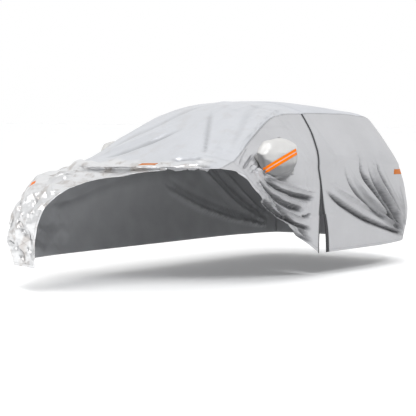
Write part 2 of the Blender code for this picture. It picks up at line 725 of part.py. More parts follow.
def cloth_mesh(name, points, normals, faces, lift=0.0, thick=CLOTH):
    """A closed body of thin cloth whose outer face lies lift above the points."""
    used = np.unique(np.concatenate([list(f) for f in faces]))
    number = {int(old): new for new, old in enumerate(used)}
    outer = points[used] + normals[used] * lift
    inner = outer - normals[used] * thick
    count = len(used)
    faces = [tuple(number[int(v)] for v in f) for f in faces]
    body = list(faces) + [tuple(v + count for v in reversed(f)) for f in faces]
    once = {pair for pair, n in edge_counts(faces).items() if n == 1}
    for face in faces:
        for a, b in zip(face, face[1:] + face[:1]):
            if (min(a, b), max(a, b)) not in once:
                continue
            if outer[a] @ RIM_ORDER < outer[b] @ RIM_ORDER:
                body += [(a, a + count, b + count), (a, b + count, b)]
            else:
                body += [(a, a + count, b), (a + count, b + count, b)]
    mesh = bpy.data.meshes.new(name)
    mesh.from_pydata(np.concatenate([outer, inner]).tolist(), [], body)
    mesh.update()
    return mesh


def prism(name, middle, along_way, out_way, length, width):
    """A box round a strip's middle: as long and wide as the strip, and deep through the cloth."""
    ahead = np.array(along_way, float)
    ahead /= np.linalg.norm(ahead)
    out = np.array(out_way, float)
    out -= ahead * (out @ ahead)
    out /= np.linalg.norm(out)
    across = np.cross(out, ahead)
    half = (length / 2, width / 2, STRIP_DEPTH)
    signs = [(i, j, k) for i in (-1, 1) for j in (-1, 1) for k in (-1, 1)]
    size = np.stack([half[0] * ahead, half[1] * across, half[2] * out])
    corners = np.array(middle) + np.array(signs) @ size
    sides = [(0, 1, 3, 2), (4, 6, 7, 5), (0, 4, 5, 1), (2, 3, 7, 6), (0, 2, 6, 4), (1, 5, 7, 3)]
    mesh = bpy.data.meshes.new(name)
    mesh.from_pydata(corners.tolist(), [], sides)
    mesh.update()
    return mesh


# ---------------------------------------------------------------- objects
def finish(name):
    """A material for a piece, from the first finish whose name begins the piece's."""
    colour, metallic, roughness = next(v for k, v in FINISHES.items() if name.startswith(k))
    material = bpy.data.materials.new(name)
    material.use_nodes = True
    shader = material.node_tree.nodes["Principled BSDF"]
    shader.inputs["Base Color"].default_value = (*colour, 1)
    shader.inputs["Metallic"].default_value = metallic
    shader.inputs["Roughness"].default_value = roughness
    return material


def under_strip(corners, outward, middle, out_way, length):
    """Whether a face lies near a strip and looks the way that the strip does."""
    near = np.linalg.norm(corners.mean(axis=0) - middle) < length / 2 + STRIP_SPARE
    return near and outward.mean(axis=0) @ np.array(out_way) > STRIP_FACING


def add(mesh, frame):
    piece = bpy.data.objects.new(mesh.name, mesh)
    bpy.context.collection.objects.link(piece)
    piece.parent = frame
    return piece


def main():
    for old in list(bpy.data.objects):
        bpy.data.objects.remove(old, do_unlink=True)
    frame = bpy.data.objects.new("cover", None)
    bpy.context.collection.objects.link(frame)
    frame.location = [-value for value in ROOF_REST]
    cloth = draped()
    for name, (points, normals, faces, sewn) in cloth.items():
        piece = add(cloth_mesh(name, trimmed(points, normals, faces, sewn), normals, faces), frame)
        piece.data.materials.append(finish(name))
        piece.data.shade_smooth()
        piece.data.set_sharp_from_angle(angle=math.radians(50))
    for name, (panel, middle, ahead, out, length, width) in STRIPS.items():
        points, normals, faces, _ = cloth[panel]
        near = [f for f in faces if under_strip(points[list(f)], normals[list(f)], middle, out, length)]
        lift = STRIP_LIFT + STRIP_THICK
        piece = add(cloth_mesh(name, points, normals, near, lift, STRIP_THICK), frame)
        piece.data.materials.append(finish(name))
        cutter = add(prism(name + "_outline", middle, ahead, out, length, width), frame)
        cutter.hide_render = True
        cutter.display_type = "WIRE"
        cut = piece.modifiers.new("outline", "BOOLEAN")
        cut.operation = "INTERSECT"
        cut.solver = "MANIFOLD"
        cut.object = cutter


main()
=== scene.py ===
"""The looks of the draped car cover: its cloth at full detail, laid over the solids it replaces.

The cover is worked out as it lies in use (metres): Y runs along it with the front at -Y, +X is its left side,
and Z is the height above the ground. Each mesh is then moved so that the underside of its roof is at the
origin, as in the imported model. Bonnet, windscreen, roof, door and so on name stretches of the cover.
"""

import math

import bpy
import numpy as np
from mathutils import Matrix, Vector
from mathutils.bvhtree import BVHTree
from mathutils.kdtree import KDTree


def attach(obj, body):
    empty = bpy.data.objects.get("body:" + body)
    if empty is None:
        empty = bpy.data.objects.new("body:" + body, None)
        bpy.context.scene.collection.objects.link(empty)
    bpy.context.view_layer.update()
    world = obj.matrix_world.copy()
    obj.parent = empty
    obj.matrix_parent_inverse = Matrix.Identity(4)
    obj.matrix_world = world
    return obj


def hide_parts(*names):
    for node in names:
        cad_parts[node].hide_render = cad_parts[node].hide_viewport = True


# ---------------------------------------------------------------- sizes of the drape (metres)
ROOF_REST = np.array([0.0, 0.45, 1.420])  # the underside of the top panel, above the ground
HEM = 0.190
CROWN_POWER = 2.3  # how square the top is from side to side
TOP_PAST = 1.2  # how far the top is followed, as a share of its half width

# The middle line and the left seam of the top panel, from the front hem over the roof to the rear hem.
# name, middle y, middle z, seam x, seam y, seam z
PROFILE = (
    ("front hem", -1.935, 0.190, 0.550, -1.820, 0.190),
    ("bumper", -1.975, 0.420, 0.600, -1.825, 0.420),
    ("nose", -1.960, 0.620, 0.575, -1.755, 0.610),
    ("bonnet edge", -1.880, 0.740, 0.610, -1.640, 0.725),
    ("bonnet front", -1.620, 0.820, 0.700, -1.430, 0.810),
    ("bonnet rear", -1.250, 0.895, 0.715, -1.120, 0.890),
    ("cowl", -0.930, 0.965, 0.720, -0.790, 0.957),
    ("screen middle", -0.500, 1.190, 0.655, -0.400, 1.140),
    ("screen top", -0.080, 1.377, 0.580, 0.020, 1.312),
    ("roof front", 0.350, 1.427, 0.565, 0.400, 1.330),
    ("roof middle", 0.900, 1.413, 0.560, 0.900, 1.323),
    ("roof rear", 1.380, 1.365, 0.548, 1.300, 1.303),
    ("roof end", 1.610, 1.325, 0.550, 1.500, 1.272),
    ("spoiler", 1.700, 1.250, 0.560, 1.600, 1.200),
    ("rear window", 1.860, 0.980, 0.620, 1.785, 0.955),
    ("tailgate", 1.950, 0.750, 0.680, 1.875, 0.720),
    ("rear bumper", 1.980, 0.520, 0.720, 1.905, 0.500),
    ("rear hem", 1.945, 0.190, 0.690, 1.875, 0.190),
)

# The side's fullest half width, the height of its shoulder and how softly it turns in above it.
# y, half width, shoulder z, softness
FLANK = (
    (-1.86, 0.59, 0.45, 3.0), (-1.78, 0.65, 0.44, 1.0), (-1.66, 0.725, 0.44, 0.7), (-1.45, 0.805, 0.56, 1.0),
    (-1.15, 0.858, 0.72, 1.6), (-0.75, 0.872, 0.8, 0.7), (-0.35, 0.872, 0.88, 0.3), (0.35, 0.872, 0.91, 0.24),
    (1.0, 0.872, 0.92, 0.24), (1.35, 0.858, 0.9, 0.3), (1.6, 0.812, 0.8, 0.42), (1.78, 0.77, 0.66, 1.0),
    (1.91, 0.715, 0.5, 3.0),
)
SEAM_PAST = (0.30, 0.45)  # how far past the bonnet edge and the spoiler the side's upper seam is followed
FLANK_PAST = (1.3, 1.1)  # how far the side's curves are followed up and down, as shares of their heights
LEAST_TURN = 0.05  # least height over which the side turns in to the seam
HEM_TUCK = 0.045  # how far the side draws in from its fullest line to the hem
HEM_EASE = 0.45  # length over which a hem's line eases into its corners

# Where the cloth that is drawn back ends, over the nose and the bonnet: along the middle line, across.
FREE_TOP = (
    (0.0, -0.245), (0.15, -0.22), (0.26, -0.19), (0.34, -0.16), (0.42, -0.12), (0.54, -0.065), (0.62, -0.03),
    (0.7, -0.02), (0.83, -0.045), (0.94, -0.01), (1.02, 0.06), (1.08, 0.14), (1.21, 0.22), (1.3, 0.35),
    (1.36, 0.48), (1.4, 0.61), (1.43, 0.72),
)
CORNER = 1.43  # distance along at which the free edge leaves the top panel for the door
# The same edge going on over the door to the foot of the zip: y, z.
FREE_SIDE = (
    (-0.8, 0.885), (-0.76, 0.85), (-0.7, 0.79), (-0.61, 0.725), (-0.47, 0.63), (-0.32, 0.535), (-0.14, 0.43),
    (0.04, 0.33), (0.2, 0.248), (0.29, 0.205),
)
FREE_BOW = 0.8  # how much the stretch between the two is bowed, from 0 to a quarter oval's 1
FREE_START = 0.04  # how much further along the free edge's rows start, past the bonnet edge
# The zip down the left door, closed above and hanging open below.
# height, front panel's edge y, rear panel's edge y, width of the rear tape
ZIP = (
    (1.345, 0.432, 0.455, 0.0108), (1.19, 0.372, 0.395, 0.0108), (1.05, 0.288, 0.311, 0.0108),
    (0.9, 0.22, 0.243, 0.0108), (0.83, 0.238, 0.261, 0.0108), (0.76, 0.254, 0.279, 0.012),
    (0.69, 0.26, 0.296, 0.018), (0.57, 0.257, 0.33, 0.03), (0.4, 0.264, 0.398, 0.042),
    (0.195, 0.29, 0.452, 0.047),
)
ZIP_TAPE = 0.0108  # width of the front tape
ZIP_EASE = 0.15  # height over which the zip's line eases into the seam at its top
ZIP_TOP = (2.957, 2.983)  # distances along at which the panels' zip edges meet the roof seam

# The bunched fold over the bonnet, as rows of the top panel from front to back.
# place along where there is no fold, place along in the full fold, lift
FOLD = (
    (0.0, 0.0, 0.0), (0.035, 0.05, 0.004), (0.07, 0.085, 0.014), (0.1, 0.08, 0.03), (0.13, 0.05, 0.036),
    (0.16, 0.03, 0.048), (0.19, 0.05, 0.06), (0.23, 0.1, 0.062), (0.28, 0.17, 0.036), (0.33, 0.33, 0.0),
)
FOLD_STARTS = (1.10, 1.28)  # distance along of its first row at the right seam and at the free edge
FOLD_RISES = 0.1  # share of the panel's width over which it is half risen from the right seam
FOLD_LAPS = 0.4  # share of the width beyond that over which it laps over itself

# The pocket over each mirror: its side (1 is left), its size against the rings below, y and z of its middle.
MIRRORS = {
    "mirror_pocket_left": (1, 1.00, -0.350, 1.000),
    "mirror_pocket_right": (-1, 0.70, -0.255, 0.985),
}
# A pocket's rings from its base out, against its middle.
# shares of the way from the base to the ring along the side and out from it,
# x, y of the middle, half sizes along y and z, lean back per metre up
POCKET_RINGS = (
    (0.30, 0.50, 0.850, -0.059, 0.195, 0.148, -0.32),
    (0.90, 0.95, 0.885, -0.052, 0.220, 0.152, -0.22),
    (1.00, 1.00, 0.925, -0.040, 0.187, 0.140, 0.05),
    (1.00, 1.00, 0.965, -0.020, 0.142, 0.117, 0.18),
    (1.00, 1.00, 0.990, 0.005, 0.075, 0.068, 0.18),
)
POCKET_ROOT_X = 0.80  # from where a smaller pocket's rings are drawn in
POCKET_ROOM = 0.035  # least distance from a ring to the side panel
POCKET_TIP = (0.995, 0.012)  # x and y of its end
POCKET_SQUARE = 2.7  # how square a ring is, 2 for an oval
POCKET_ROOT = 0.85  # how far out the middle of a mirror pocket lies, as a share of its points' mean
# Cells left out of a side panel for its pocket: first row, last row, first column, last column.
POCKET_HOLE_LEFT = (4, 12, 6, 13)
POCKET_HOLE_RIGHT = (2, 4, 22, 27)

# ---------------------------------------------------------------- listed folds
# Folds of the left side.
# half width at the start and the end, height, shares of the length in which it starts and ends,
# y and z of points
DOOR_FOLDS = (
    # from under the pocket back over the door
    (0.026, 0.034, 0.046, 0.06, 0.15, (-0.66, 0.93), (-0.5, 0.852), (-0.27, 0.785),
     (-0.03, 0.728), (0.2, 0.69)),
    (0.02, 0.024, -0.066, 0.06, 0.1, (-0.66, 0.9), (-0.48, 0.806), (-0.27, 0.738),
     (-0.03, 0.684), (0.18, 0.655)),
    (0.018, 0.026, 0.036, 0.06, 0.25, (-0.64, 0.866), (-0.48, 0.768), (-0.3, 0.7),
     (-0.07, 0.64), (0.14, 0.605)),
    (0.018, 0.026, -0.06, 0.06, 0.12, (-0.63, 0.84), (-0.42, 0.712), (-0.2, 0.622), (0.04, 0.566)),
    (0.022, 0.03, 0.046, 0.1, 0.25, (-0.66, 0.84), (-0.6, 0.75), (-0.45, 0.655), (-0.24, 0.57), (0.1, 0.47)),
    (0.018, 0.024, -0.06, 0.1, 0.12, (-0.54, 0.685), (-0.33, 0.562), (-0.14, 0.482), (0.16, 0.404)),
    (0.014, 0.022, 0.026, 0.2, 0.25, (-0.34, 0.53), (-0.14, 0.45), (0.14, 0.368)),
    (0.014, 0.02, -0.038, 0.2, 0.2, (-0.2, 0.44), (0.0, 0.362), (0.2, 0.3)),
    (0.012, 0.022, -0.034, 0.3, 0.05, (-0.02, 0.52), (0.06, 0.51), (0.14, 0.52)),
    # a shallow trough under the pocket, with painted shadow in it
    (0.03, 0.034, -0.022, 0.3, 0.3, (-0.58, 0.85), (-0.42, 0.832), (-0.26, 0.85), (-0.13, 0.9)),
    # between the pocket and the foot of the windscreen
    (0.014, 0.018, 0.018, 0.3, 0.3, (-0.74, 0.93), (-0.62, 1.01), (-0.5, 1.08)),
    (0.014, 0.018, -0.026, 0.3, 0.3, (-0.73, 0.91), (-0.61, 0.975), (-0.5, 1.03)),
    (0.014, 0.016, 0.016, 0.3, 0.3, (-0.72, 0.89), (-0.6, 0.94), (-0.52, 0.98)),
    (0.012, 0.014, -0.022, 0.3, 0.3, (-0.71, 0.872), (-0.62, 0.905), (-0.53, 0.94)),
)
QUARTER_FOLDS = (
    (0.04, 0.022, 0.044, 0.25, 0.08, (0.37, 0.77), (0.56, 0.685), (0.77, 0.605),
     (1.0, 0.525), (1.3, 0.43), (1.74, 0.31)),
    (0.042, 0.026, -0.075, 0.22, 0.06, (0.33, 0.72), (0.54, 0.62), (0.75, 0.53),
     (0.97, 0.45), (1.2, 0.385), (1.8, 0.26)),
    (0.03, 0.026, -0.05, 0.35, 0.15, (0.6, 0.9), (0.7, 0.77), (0.86, 0.645), (1.05, 0.535), (1.38, 0.41)),
    (0.03, 0.024, 0.03, 0.35, 0.15, (0.67, 0.9), (0.79, 0.77), (0.95, 0.665), (1.14, 0.565), (1.48, 0.42)),
    (0.05, 0.028, -0.075, 0.3, 0.06, (0.85, 1.0), (0.89, 0.86), (1.04, 0.75),
     (1.23, 0.62), (1.42, 0.48), (1.8, 0.29)),
    (0.034, 0.02, 0.052, 0.3, 0.06, (1.02, 0.95), (1.18, 0.75), (1.4, 0.575), (1.83, 0.32)),
    (0.034, 0.022, -0.064, 0.3, 0.06, (1.1, 0.93), (1.25, 0.79), (1.4, 0.68), (1.55, 0.545), (1.84, 0.34)),
    (0.034, 0.024, -0.046, 0.35, 0.08, (0.96, 0.92), (1.07, 0.8), (1.22, 0.69), (1.4, 0.555), (1.74, 0.35)),
    (0.024, 0.014, 0.022, 0.4, 0.1, (1.22, 0.9), (1.36, 0.76), (1.52, 0.61), (1.8, 0.4)),
)
OTHER_SIDE_FOLDS = (
    # tips that gather at the rear corner's hem
    (0.02, 0.014, -0.03, 0.5, 0.05, (1.38, 0.63), (1.58, 0.47), (1.82, 0.3)),
    (0.018, 0.013, 0.022, 0.5, 0.05, (1.5, 0.73), (1.67, 0.54), (1.84, 0.33)),
    (0.018, 0.012, -0.028, 0.5, 0.05, (1.58, 0.8), (1.71, 0.6), (1.85, 0.37)),
    (0.02, 0.014, 0.024, 0.5, 0.05, (1.3, 0.455), (1.54, 0.36), (1.83, 0.27)),
    (0.018, 0.014, -0.022, 0.5, 0.05, (1.34, 0.33), (1.58, 0.29), (1.84, 0.24)),
    # along the free edge
    (0.026, 0.022, -0.034, 0.15, 0.2, (-0.6, 0.79), (-0.44, 0.672), (-0.29, 0.578),
     (-0.11, 0.473), (0.07, 0.372), (0.22, 0.298)),
    (0.026, 0.022, 0.02, 0.15, 0.25, (-0.66, 0.79), (-0.47, 0.65), (-0.31, 0.55),
     (-0.13, 0.445), (0.05, 0.345), (0.22, 0.26)),
    # a pucker low on the quarter
    (0.02, 0.018, -0.03, 0.4, 0.1, (1.3, 0.6), (1.45, 0.44), (1.7, 0.3)),
    # wide shallow troughs on the quarter, with painted shade in them
    (0.12, 0.06, -0.024, 0.4, 0.08, (0.72, 0.8), (1.0, 0.62), (1.3, 0.48), (1.76, 0.28)),
    (0.1, 0.05, -0.024, 0.4, 0.08, (1.02, 0.9), (1.22, 0.7), (1.45, 0.52), (1.8, 0.3)),
)
SIDE_FOLDS = DOOR_FOLDS + QUARTER_FOLDS + OTHER_SIDE_FOLDS
# Folds of the top: the same, with x and y of points.
TOP_FOLDS = (
    # dart, ridge and valley of the windscreen
    (0.016, 0.05, -0.014, 0.12, 0.5, (0.44, -0.74), (0.3, -0.52), (0.14, -0.27), (0.03, -0.07)),
    (0.06, 0.07, 0.02, 0.2, 0.4, (-0.62, -0.76), (-0.31, -0.6), (-0.08, -0.36)),
    (0.045, 0.06, -0.018, 0.2, 0.4, (-0.5, -0.84), (-0.2, -0.68), (0.04, -0.42)),
    # along its left edge
    (0.022, 0.03, 0.02, 0.2, 0.3, (0.67, -0.66), (0.63, -0.45), (0.59, -0.2), (0.53, 0.05), (0.43, 0.33)),
    # a fan on the roof
    (0.05, 0.08, 0.009, 0.3, 0.3, (0.02, -0.1), (-0.08, 0.15), (-0.2, 0.45)),
    (0.045, 0.08, 0.009, 0.3, 0.3, (0.08, -0.12), (0.14, 0.15), (0.18, 0.45)),
    # long pulls over the windscreen
    (0.07, 0.09, 0.009, 0.3, 0.3, (-0.68, -0.55), (-0.5, -0.25), (-0.3, 0.05), (-0.1, 0.3)),
    (0.06, 0.08, -0.009, 0.3, 0.3, (-0.66, -0.72), (-0.36, -0.42), (-0.2, -0.18), (-0.08, 0.05)),
    (0.06, 0.08, 0.008, 0.3, 0.3, (-0.3, -0.86), (-0.14, -0.55), (-0.04, -0.3)),
    (0.04, 0.07, 0.007, 0.3, 0.3, (0.6, -0.76), (0.42, -0.42), (0.22, -0.12), (0.12, 0.1)),
    (0.04, 0.07, -0.006, 0.3, 0.3, (0.64, -0.68), (0.48, -0.3), (0.34, 0.05), (0.26, 0.4)),
    # at its foot
    (0.02, 0.028, -0.04, 0.3, 0.2, (0.32, -1.03), (0.43, -0.963), (0.52, -0.885)),
    (0.026, 0.02, -0.036, 0.2, 0.3, (0.5, -0.9), (0.58, -0.915), (0.65, -0.95)),
    (0.03, 0.036, -0.022, 0.3, 0.2, (0.22, -0.88), (0.34, -0.83), (0.46, -0.79)),
    (0.034, 0.04, 0.018, 0.25, 0.25, (0.4, -0.87), (0.53, -0.83), (0.66, -0.86)),
    # on the bonnet's right half
    (0.026, 0.034, 0.022, 0.15, 0.25, (-0.5, -1.43), (-0.38, -1.4), (-0.22, -1.31)),
    (0.022, 0.03, -0.024, 0.2, 0.25, (-0.6, -1.42), (-0.36, -1.36), (-0.12, -1.27)),
    (0.02, 0.028, 0.018, 0.2, 0.2, (-0.44, -1.56), (-0.36, -1.53), (-0.26, -1.5)),
    (0.02, 0.026, -0.022, 0.2, 0.2, (-0.5, -1.48), (-0.44, -1.45), (-0.34, -1.42)),
)
# Folds of the nose: the same, with x and height of points.
NOSE_FOLDS = (
    (0.03, 0.04, 0.014, 0.2, 0.15, (-0.5, 0.715), (-0.35, 0.56), (-0.21, 0.385)),
    (0.026, 0.03, -0.017, 0.2, 0.2, (-0.56, 0.69), (-0.42, 0.54), (-0.29, 0.39)),
    (0.04, 0.03, -0.019, 0.2, 0.3, (-0.47, 0.39), (-0.43, 0.3), (-0.38, 0.225)),
    (0.022, 0.02, -0.022, 0.4, 0.3, (-0.6, 0.38), (-0.54, 0.365), (-0.47, 0.355)),
    (0.034, 0.034, 0.017, 0.3, 0.3, (-0.6, 0.45), (-0.53, 0.42), (-0.44, 0.44)),
    (0.022, 0.026, -0.013, 0.2, 0.2, (-0.45, 0.64), (-0.43, 0.54), (-0.47, 0.43)),
    (0.02, 0.024, -0.013, 0.2, 0.2, (-0.38, 0.76), (-0.3, 0.68), (-0.26, 0.58)),
    (0.022, 0.022, 0.011, 0.2, 0.2, (-0.3, 0.74), (-0.24, 0.64), (-0.22, 0.54)),
    (0.02, 0.02, -0.013, 0.2, 0.2, (-0.34, 0.5), (-0.27, 0.4), (-0.24, 0.28)),
    (0.022, 0.022, 0.012, 0.2, 0.2, (-0.36, 0.33), (-0.28, 0.26), (-0.21, 0.23)),
)
FOLD_POINTS = 40  # points along a fold when the nearest is looked for
FOLD_END_HEIGHT = 0.10  # share of its height that a fold keeps at its ends
FOLD_END_WIDTH = 0.45  # and of its width
FOLD_LEAN = 0.45  # how much narrower a fold's steep side is than its middle, and how much wider the other
CREST_SHARP = 1.5
CREST_ROUND = 0.6
DARK_WIDTH = 0.8  # width of the painted shade in a trough's core, as a share of the trough's
DARK_DEPTH = 0.042  # depth of a trough whose painted shade is full
FAR_WIDTH = 0.034  # least half width of the quarter's folds that the right side has too
FAR_SIDE = 0.6  # height of the right side's folds against the left's

# ---------------------------------------------------------------- foil and creases
FOIL_END = -0.97  # y at which the foil starts to fade out behind the bonnet
FOIL_FADE = 0.10  # length over which it fades
FOIL_SIDES = (0.62, 0.14)  # x from which the sides fade differently, and the width of the change
FOIL_SIDE_AHEAD = 0.16  # how much further forward the sides' foil ends
FOIL_SIDE_FADE = 0.34  # and how much longer it fades
# The ragged line at its end: height, radians a metre and start of its waves across, and of the sides' wave.
FOIL_RAGGED = ((0.035, 9, 1), (0.018, 23, 0))
FOIL_RAGGED_SIDE = (0.09, 8, 1)
FOIL_RAGGED_X = 0.72  # x beyond which the sides' wave counts
# Where the foil shows again at the foot of the windscreen: x and y, radius.
FOIL_PATCHES = (((0.36, -0.95), 0.17), ((0.52, -0.86), 0.15))
SCREEN_FOIL = 0.22  # how much of the foil's look the windscreen has
SCREEN_FOIL_END = (0.1, 0.5)  # y from which it fades, and the length over which it does
PLAIN_CREASES = 0.04  # how much of the foil's creases the windscreen and roof have
LOOSE_EDGE = 0.3  # how much of the creases an open edge has
EDGE_FAR = 0.08  # distance from an edge beyond which nothing of it is seen
STRIP_CALM = 0.26  # distance from a strip on the foil over which the creases die out
BONNET_CALM = 0.5  # how much less creased the bonnet's rear part is
BONNET_CALM_Y = (-1.42, 0.12)  # y from which that holds, and the length over which it sets in
BONNET_CALM_X = 0.75  # half width of the stretch it holds for
# Short straight creases: seed, number, length from and to, half width from and to, height, sharpness.
FOIL_CREASES = (11, 200, (0.16, 0.55), (0.03, 0.09), 0.014, 1.0)
# The same over all the cloth.
SAGS = (12, 160, (0.3, 0.9), (0.08, 0.2), 0.005, 1.6)
LEVEL_FROM = (0.31, 0.42, 0.85)  # a crease is turned from the line square to this and to the cloth
# Saw-tooth waves that crumple the foil and the pockets: how many, waves per metre, height.
FOIL_WAVES = ((3, 2.6, 0.010), (4, 4.5, 0.0055), (2, 9.0, 0.0018))
POCKET_WAVES = ((3, 5.2, 0.0016), (2, 9.5, 0.0010))
FOIL_SEED = 21
POCKET_SEED = 22
WAVE_BEND = (0.35, 0.4)  # how far the waves bend, in waves, and how often against their own number
POCKET_FULL = 0.004  # how far the pockets are puffed out
POCKET_RISE = 0.4  # share of its rings over which a pocket takes on its facets
POCKET_SHADE = (0.45, 2.0)  # painted shade on a pocket's underside: how dark it is where the cloth faces level, and how fast that goes as it turns up
# The flat facets in which a mirror pocket's cloth lies: direction out of each on the left, share it cuts off.
POCKET_FACETS = (
    ((0.34, -0.79, 0.5), 0.12), ((0.9, -0.2, 0.4), 0.1), ((0.69, -0.42, -0.6), 0.1),
    ((-0.06, -0.92, -0.3), 0.1), ((0.65, -0.7, -0.25), 0.05), ((0.1, -0.2, 0.97), 0.07),
    ((0.2, 0.7, 0.68), 0.1), ((0.3, 0.95, 0.1), 0.06), ((0.2, 0.6, -0.77), 0.1), ((0.1, -0.2, -0.97), 0.06),
    ((1.0, 0.15, 0.0), 0.05), ((0.55, 0.1, 0.8), 0.12),
)

# ---------------------------------------------------------------- pieces
CLOTH = 0.0016  # thickness
STRIP_CELL = 0.008
STRIP_CELLS = 8  # least number of cells along and across
STRIP_DEPTH = 0.090  # how far above and below its middle the cloth under a strip is looked for
STRIP_LIFT = 0.0016
STRIP_THICK = 0.0008
STRIP_LINE = 0.06  # half width of the line between two bands, as a share of the strip's width
STRIP_RIM = 0.44  # where its rim starts, from its middle
STRIP_GREY = (0.45, 0.45, 0.47, 1)
# Panel, middle, direction along the strip, direction out of the cloth, length, width, colour,
# and 1 for two bands with a line between.
STRIPS = {
    "strip_mirror_left": (
        "mirror_pocket_left", (0.9573, -0.4351, 0.9744), (0.096, 0.294, 0.141), (0.60, -0.79, 0.07),
        0.360, 0.046, (1.0, 0.21, 0.0), 1.0,
    ),
    "strip_mirror_right": (
        "mirror_pocket_right", (-0.886, -0.343, 0.950), (-0.096, 0.294, 0.141), (-0.50, -0.86, 0.07),
        0.300, 0.034, (1.0, 0.21, 0.0), 1.0,
    ),
    "strip_bonnet": (
        "top_panel", (0.10, -1.01, 0.975), (1.00, 0.06, 0.00), (0.0, -0.1, 1.0),
        0.155, 0.060, (0.60, 0.18, 0.02), 0.0,
    ),
    "strip_front_right": (
        "top_panel", (-0.617, -1.541, 0.791), (0.605, -0.797, -0.13), (-0.24, -0.36, 0.90),
        0.180, 0.036, (0.90, 0.20, 0.01), 0.0,
    ),
    "strip_rear_left": (
        "side_left_rear", (0.800, 1.640, 0.812), (-0.30, 0.95, -0.03), (0.97, 0.24, 0.0),
        0.300, 0.044, (0.62, 0.17, 0.015), 0.0,
    ),
}
# How the names of the silver pieces start: material, slot, colour, metallic, roughness.
SILVERS = {
    # The top's colour is lighter and bluer, and the sides' darker, than the one silver cloth they are cut from:
    # painted light on the top, painted shade on the sides; the pockets' lighter, warmer colour is painted
    # light.
    "top_panel": ("silver_top", "silver_cloth", (0.58, 0.595, 0.63), 0.50, 0.44),
    "side": ("silver_side", "silver_cloth_side", (0.49, 0.49, 0.503), 0.25, 0.52),
    "mirror": ("silver_pocket", "silver_cloth_pocket", (0.62, 0.612, 0.60), 0.26, 0.48),
}

# ---------------------------------------------------------------- silver cloth
TONES = (0.88, 1.08)  # the darkest and lightest of its colour
FOIL_TONE = (0.82, 0.82, 0.82, 1)
FOIL_TINT = 0.75  # how much of its tone the foil takes
FOIL_METALLIC = 0.85
FOIL_GLOSS = 0.11  # how much smoother the foil is
ROUGH_SPREAD = 0.16  # from the smoothest to the roughest place
BROWN = (0.46, 0.42, 0.39, 1)  # dull patches of the foil
BROWN_TINT = 0.6
BROWN_PATCH = (0.52, 0.66)  # of a noise, from none to full
CREASE = (0.38, 0.35, 0.33, 1)  # lines along the foil's creases
CREASE_TINT = 0.6
# Painted shade in the folds' troughs and on the pockets' undersides, where the attribute fold says so: its
# colour and how much of it is mixed in.
TROUGH = (0.10, 0.102, 0.11, 1)
TROUGH_TINT = 0.80
GROOVE = (0.20, 0.205, 0.215, 1)
GROOVE_TINT = 0.55
# Distance from the open edge or the seam, half width.
HEM_STITCH = (0.021, 0.0011)
SEAM_STITCH = (0.008, 0.0011)
SEAM_GROOVE = (0.0, 0.0030)
HEM_TURNED = (0.028, 0.022)  # distances between which the turned hem rises

# ---------------------------------------------------------------- stage
CAMERA = (7.958, -11.039, 0.024)
AZIMUTH = 37.202  # degrees
LOOK_DOWN = 3.877  # degrees
LENS = 138.46  # millimetres, on a 36 millimetre sensor
CLIP_END = 200
FLOOR_HALF = 60.0
FLOOR_GLOW = 0.14  # light of its own, which keeps it pale
BRIGHT_RISE = 0.35  # how far up the middle of the bright side behind the cover lies
BRIGHT_FADE = (-0.2, 0.8)  # from the dim side to the bright one
DIM_SIDE = (0.16, 0.165, 0.175, 1)
BRIGHT_SIDE = (1.0, 1.0, 1.0, 1)
DAYLIGHT = ((0.25, -0.5, 1.0), 1.3, 30)  # direction it comes from, strength, angle in degrees
# Soft square lamps: place, the point they face, size, power, colour.
LAMPS = {
    "front": ((-5.0, -9.0, 3.5), (-0.3, -1.8, -0.8), 4.5, 260, (1.0, 0.99, 0.97)),
    "side": ((9.0, -4.0, 7.0), (0.8, 0.4, -0.6), 3.0, 700, (0.98, 0.99, 1.0)),
}

# ---------------------------------------------------------------- grids
FRONT_ROWS = 12
FREE_ROWS = 6
SCREEN_ROWS = 20
ROOF_ROWS = 26
REAR_ROWS = 12
ACROSS = 10
DOOR_ROWS = 24
HEM_GATHER = 1.6  # how the rear panel's columns crowd towards the rear corner at the hem
FINE = 5  # cells of the cloth along each cell of the solids
FINE_ACROSS = 9  # the same across the top
RING_STEPS = 5  # rings of a mirror pocket between two rows of its table
CURVE_POINTS = 400  # points along a curve when places on it are looked for
STEP = 0.001  # for finding the slope of the top
TINY = 1e-12
MIDDLE_LINE = (1.4, 0.5)  # half length and height of a line along the cover's middle, for telling out from in
MIRRORED = np.array([-1, 1, 1])  # swaps left and right


# ---------------------------------------------------------------- curves and patches
def smooth(knots, values, at):
    """Values along a smooth curve through the knots."""
    knots = np.asarray(knots, float)
    values = np.asarray(values, float)
    at = np.clip(np.asarray(at, float), knots[0], knots[-1])
    step = np.diff(knots)
    slope = np.diff(values) / step
    middle = (slope[:-1] * step[1:] + slope[1:] * step[:-1]) / (step[:-1] + step[1:])
    lean = np.concatenate([[slope[0]], middle, [slope[-1]]])
    i = np.clip(np.searchsorted(knots, at, side="right") - 1, 0, len(step) - 1)
    t = (at - knots[i]) / step[i]
    return (
        values[i] * (1 + 2 * t) * (1 - t) ** 2
        + lean[i] * step[i] * t * (1 - t) ** 2
        + values[i + 1] * t * t * (3 - 2 * t)
        + lean[i + 1] * step[i] * t * t * (t - 1)
    )


def column(table, k):
    return np.array([row[k] for row in table], float)


def eased(t):
    """0 to 1 with a soft start and end."""
    t = np.clip(t, 0, 1)
    return t * t * (3 - 2 * t)


def unit(v):
    return v / np.maximum(np.linalg.norm(v, axis=-1, keepdims=True), TINY)


def run_of(points):
    """Distance run at each point of a line, from its first."""
    return np.concatenate([[0], np.cumsum(np.linalg.norm(np.diff(points, axis=0), axis=1))])


MIDDLE_Y = column(PROFILE, 1)
MIDDLE_Z = column(PROFILE, 2)
LENGTHS = np.concatenate([[0], np.cumsum(np.hypot(np.diff(MIDDLE_Y), np.diff(MIDDLE_Z)))])


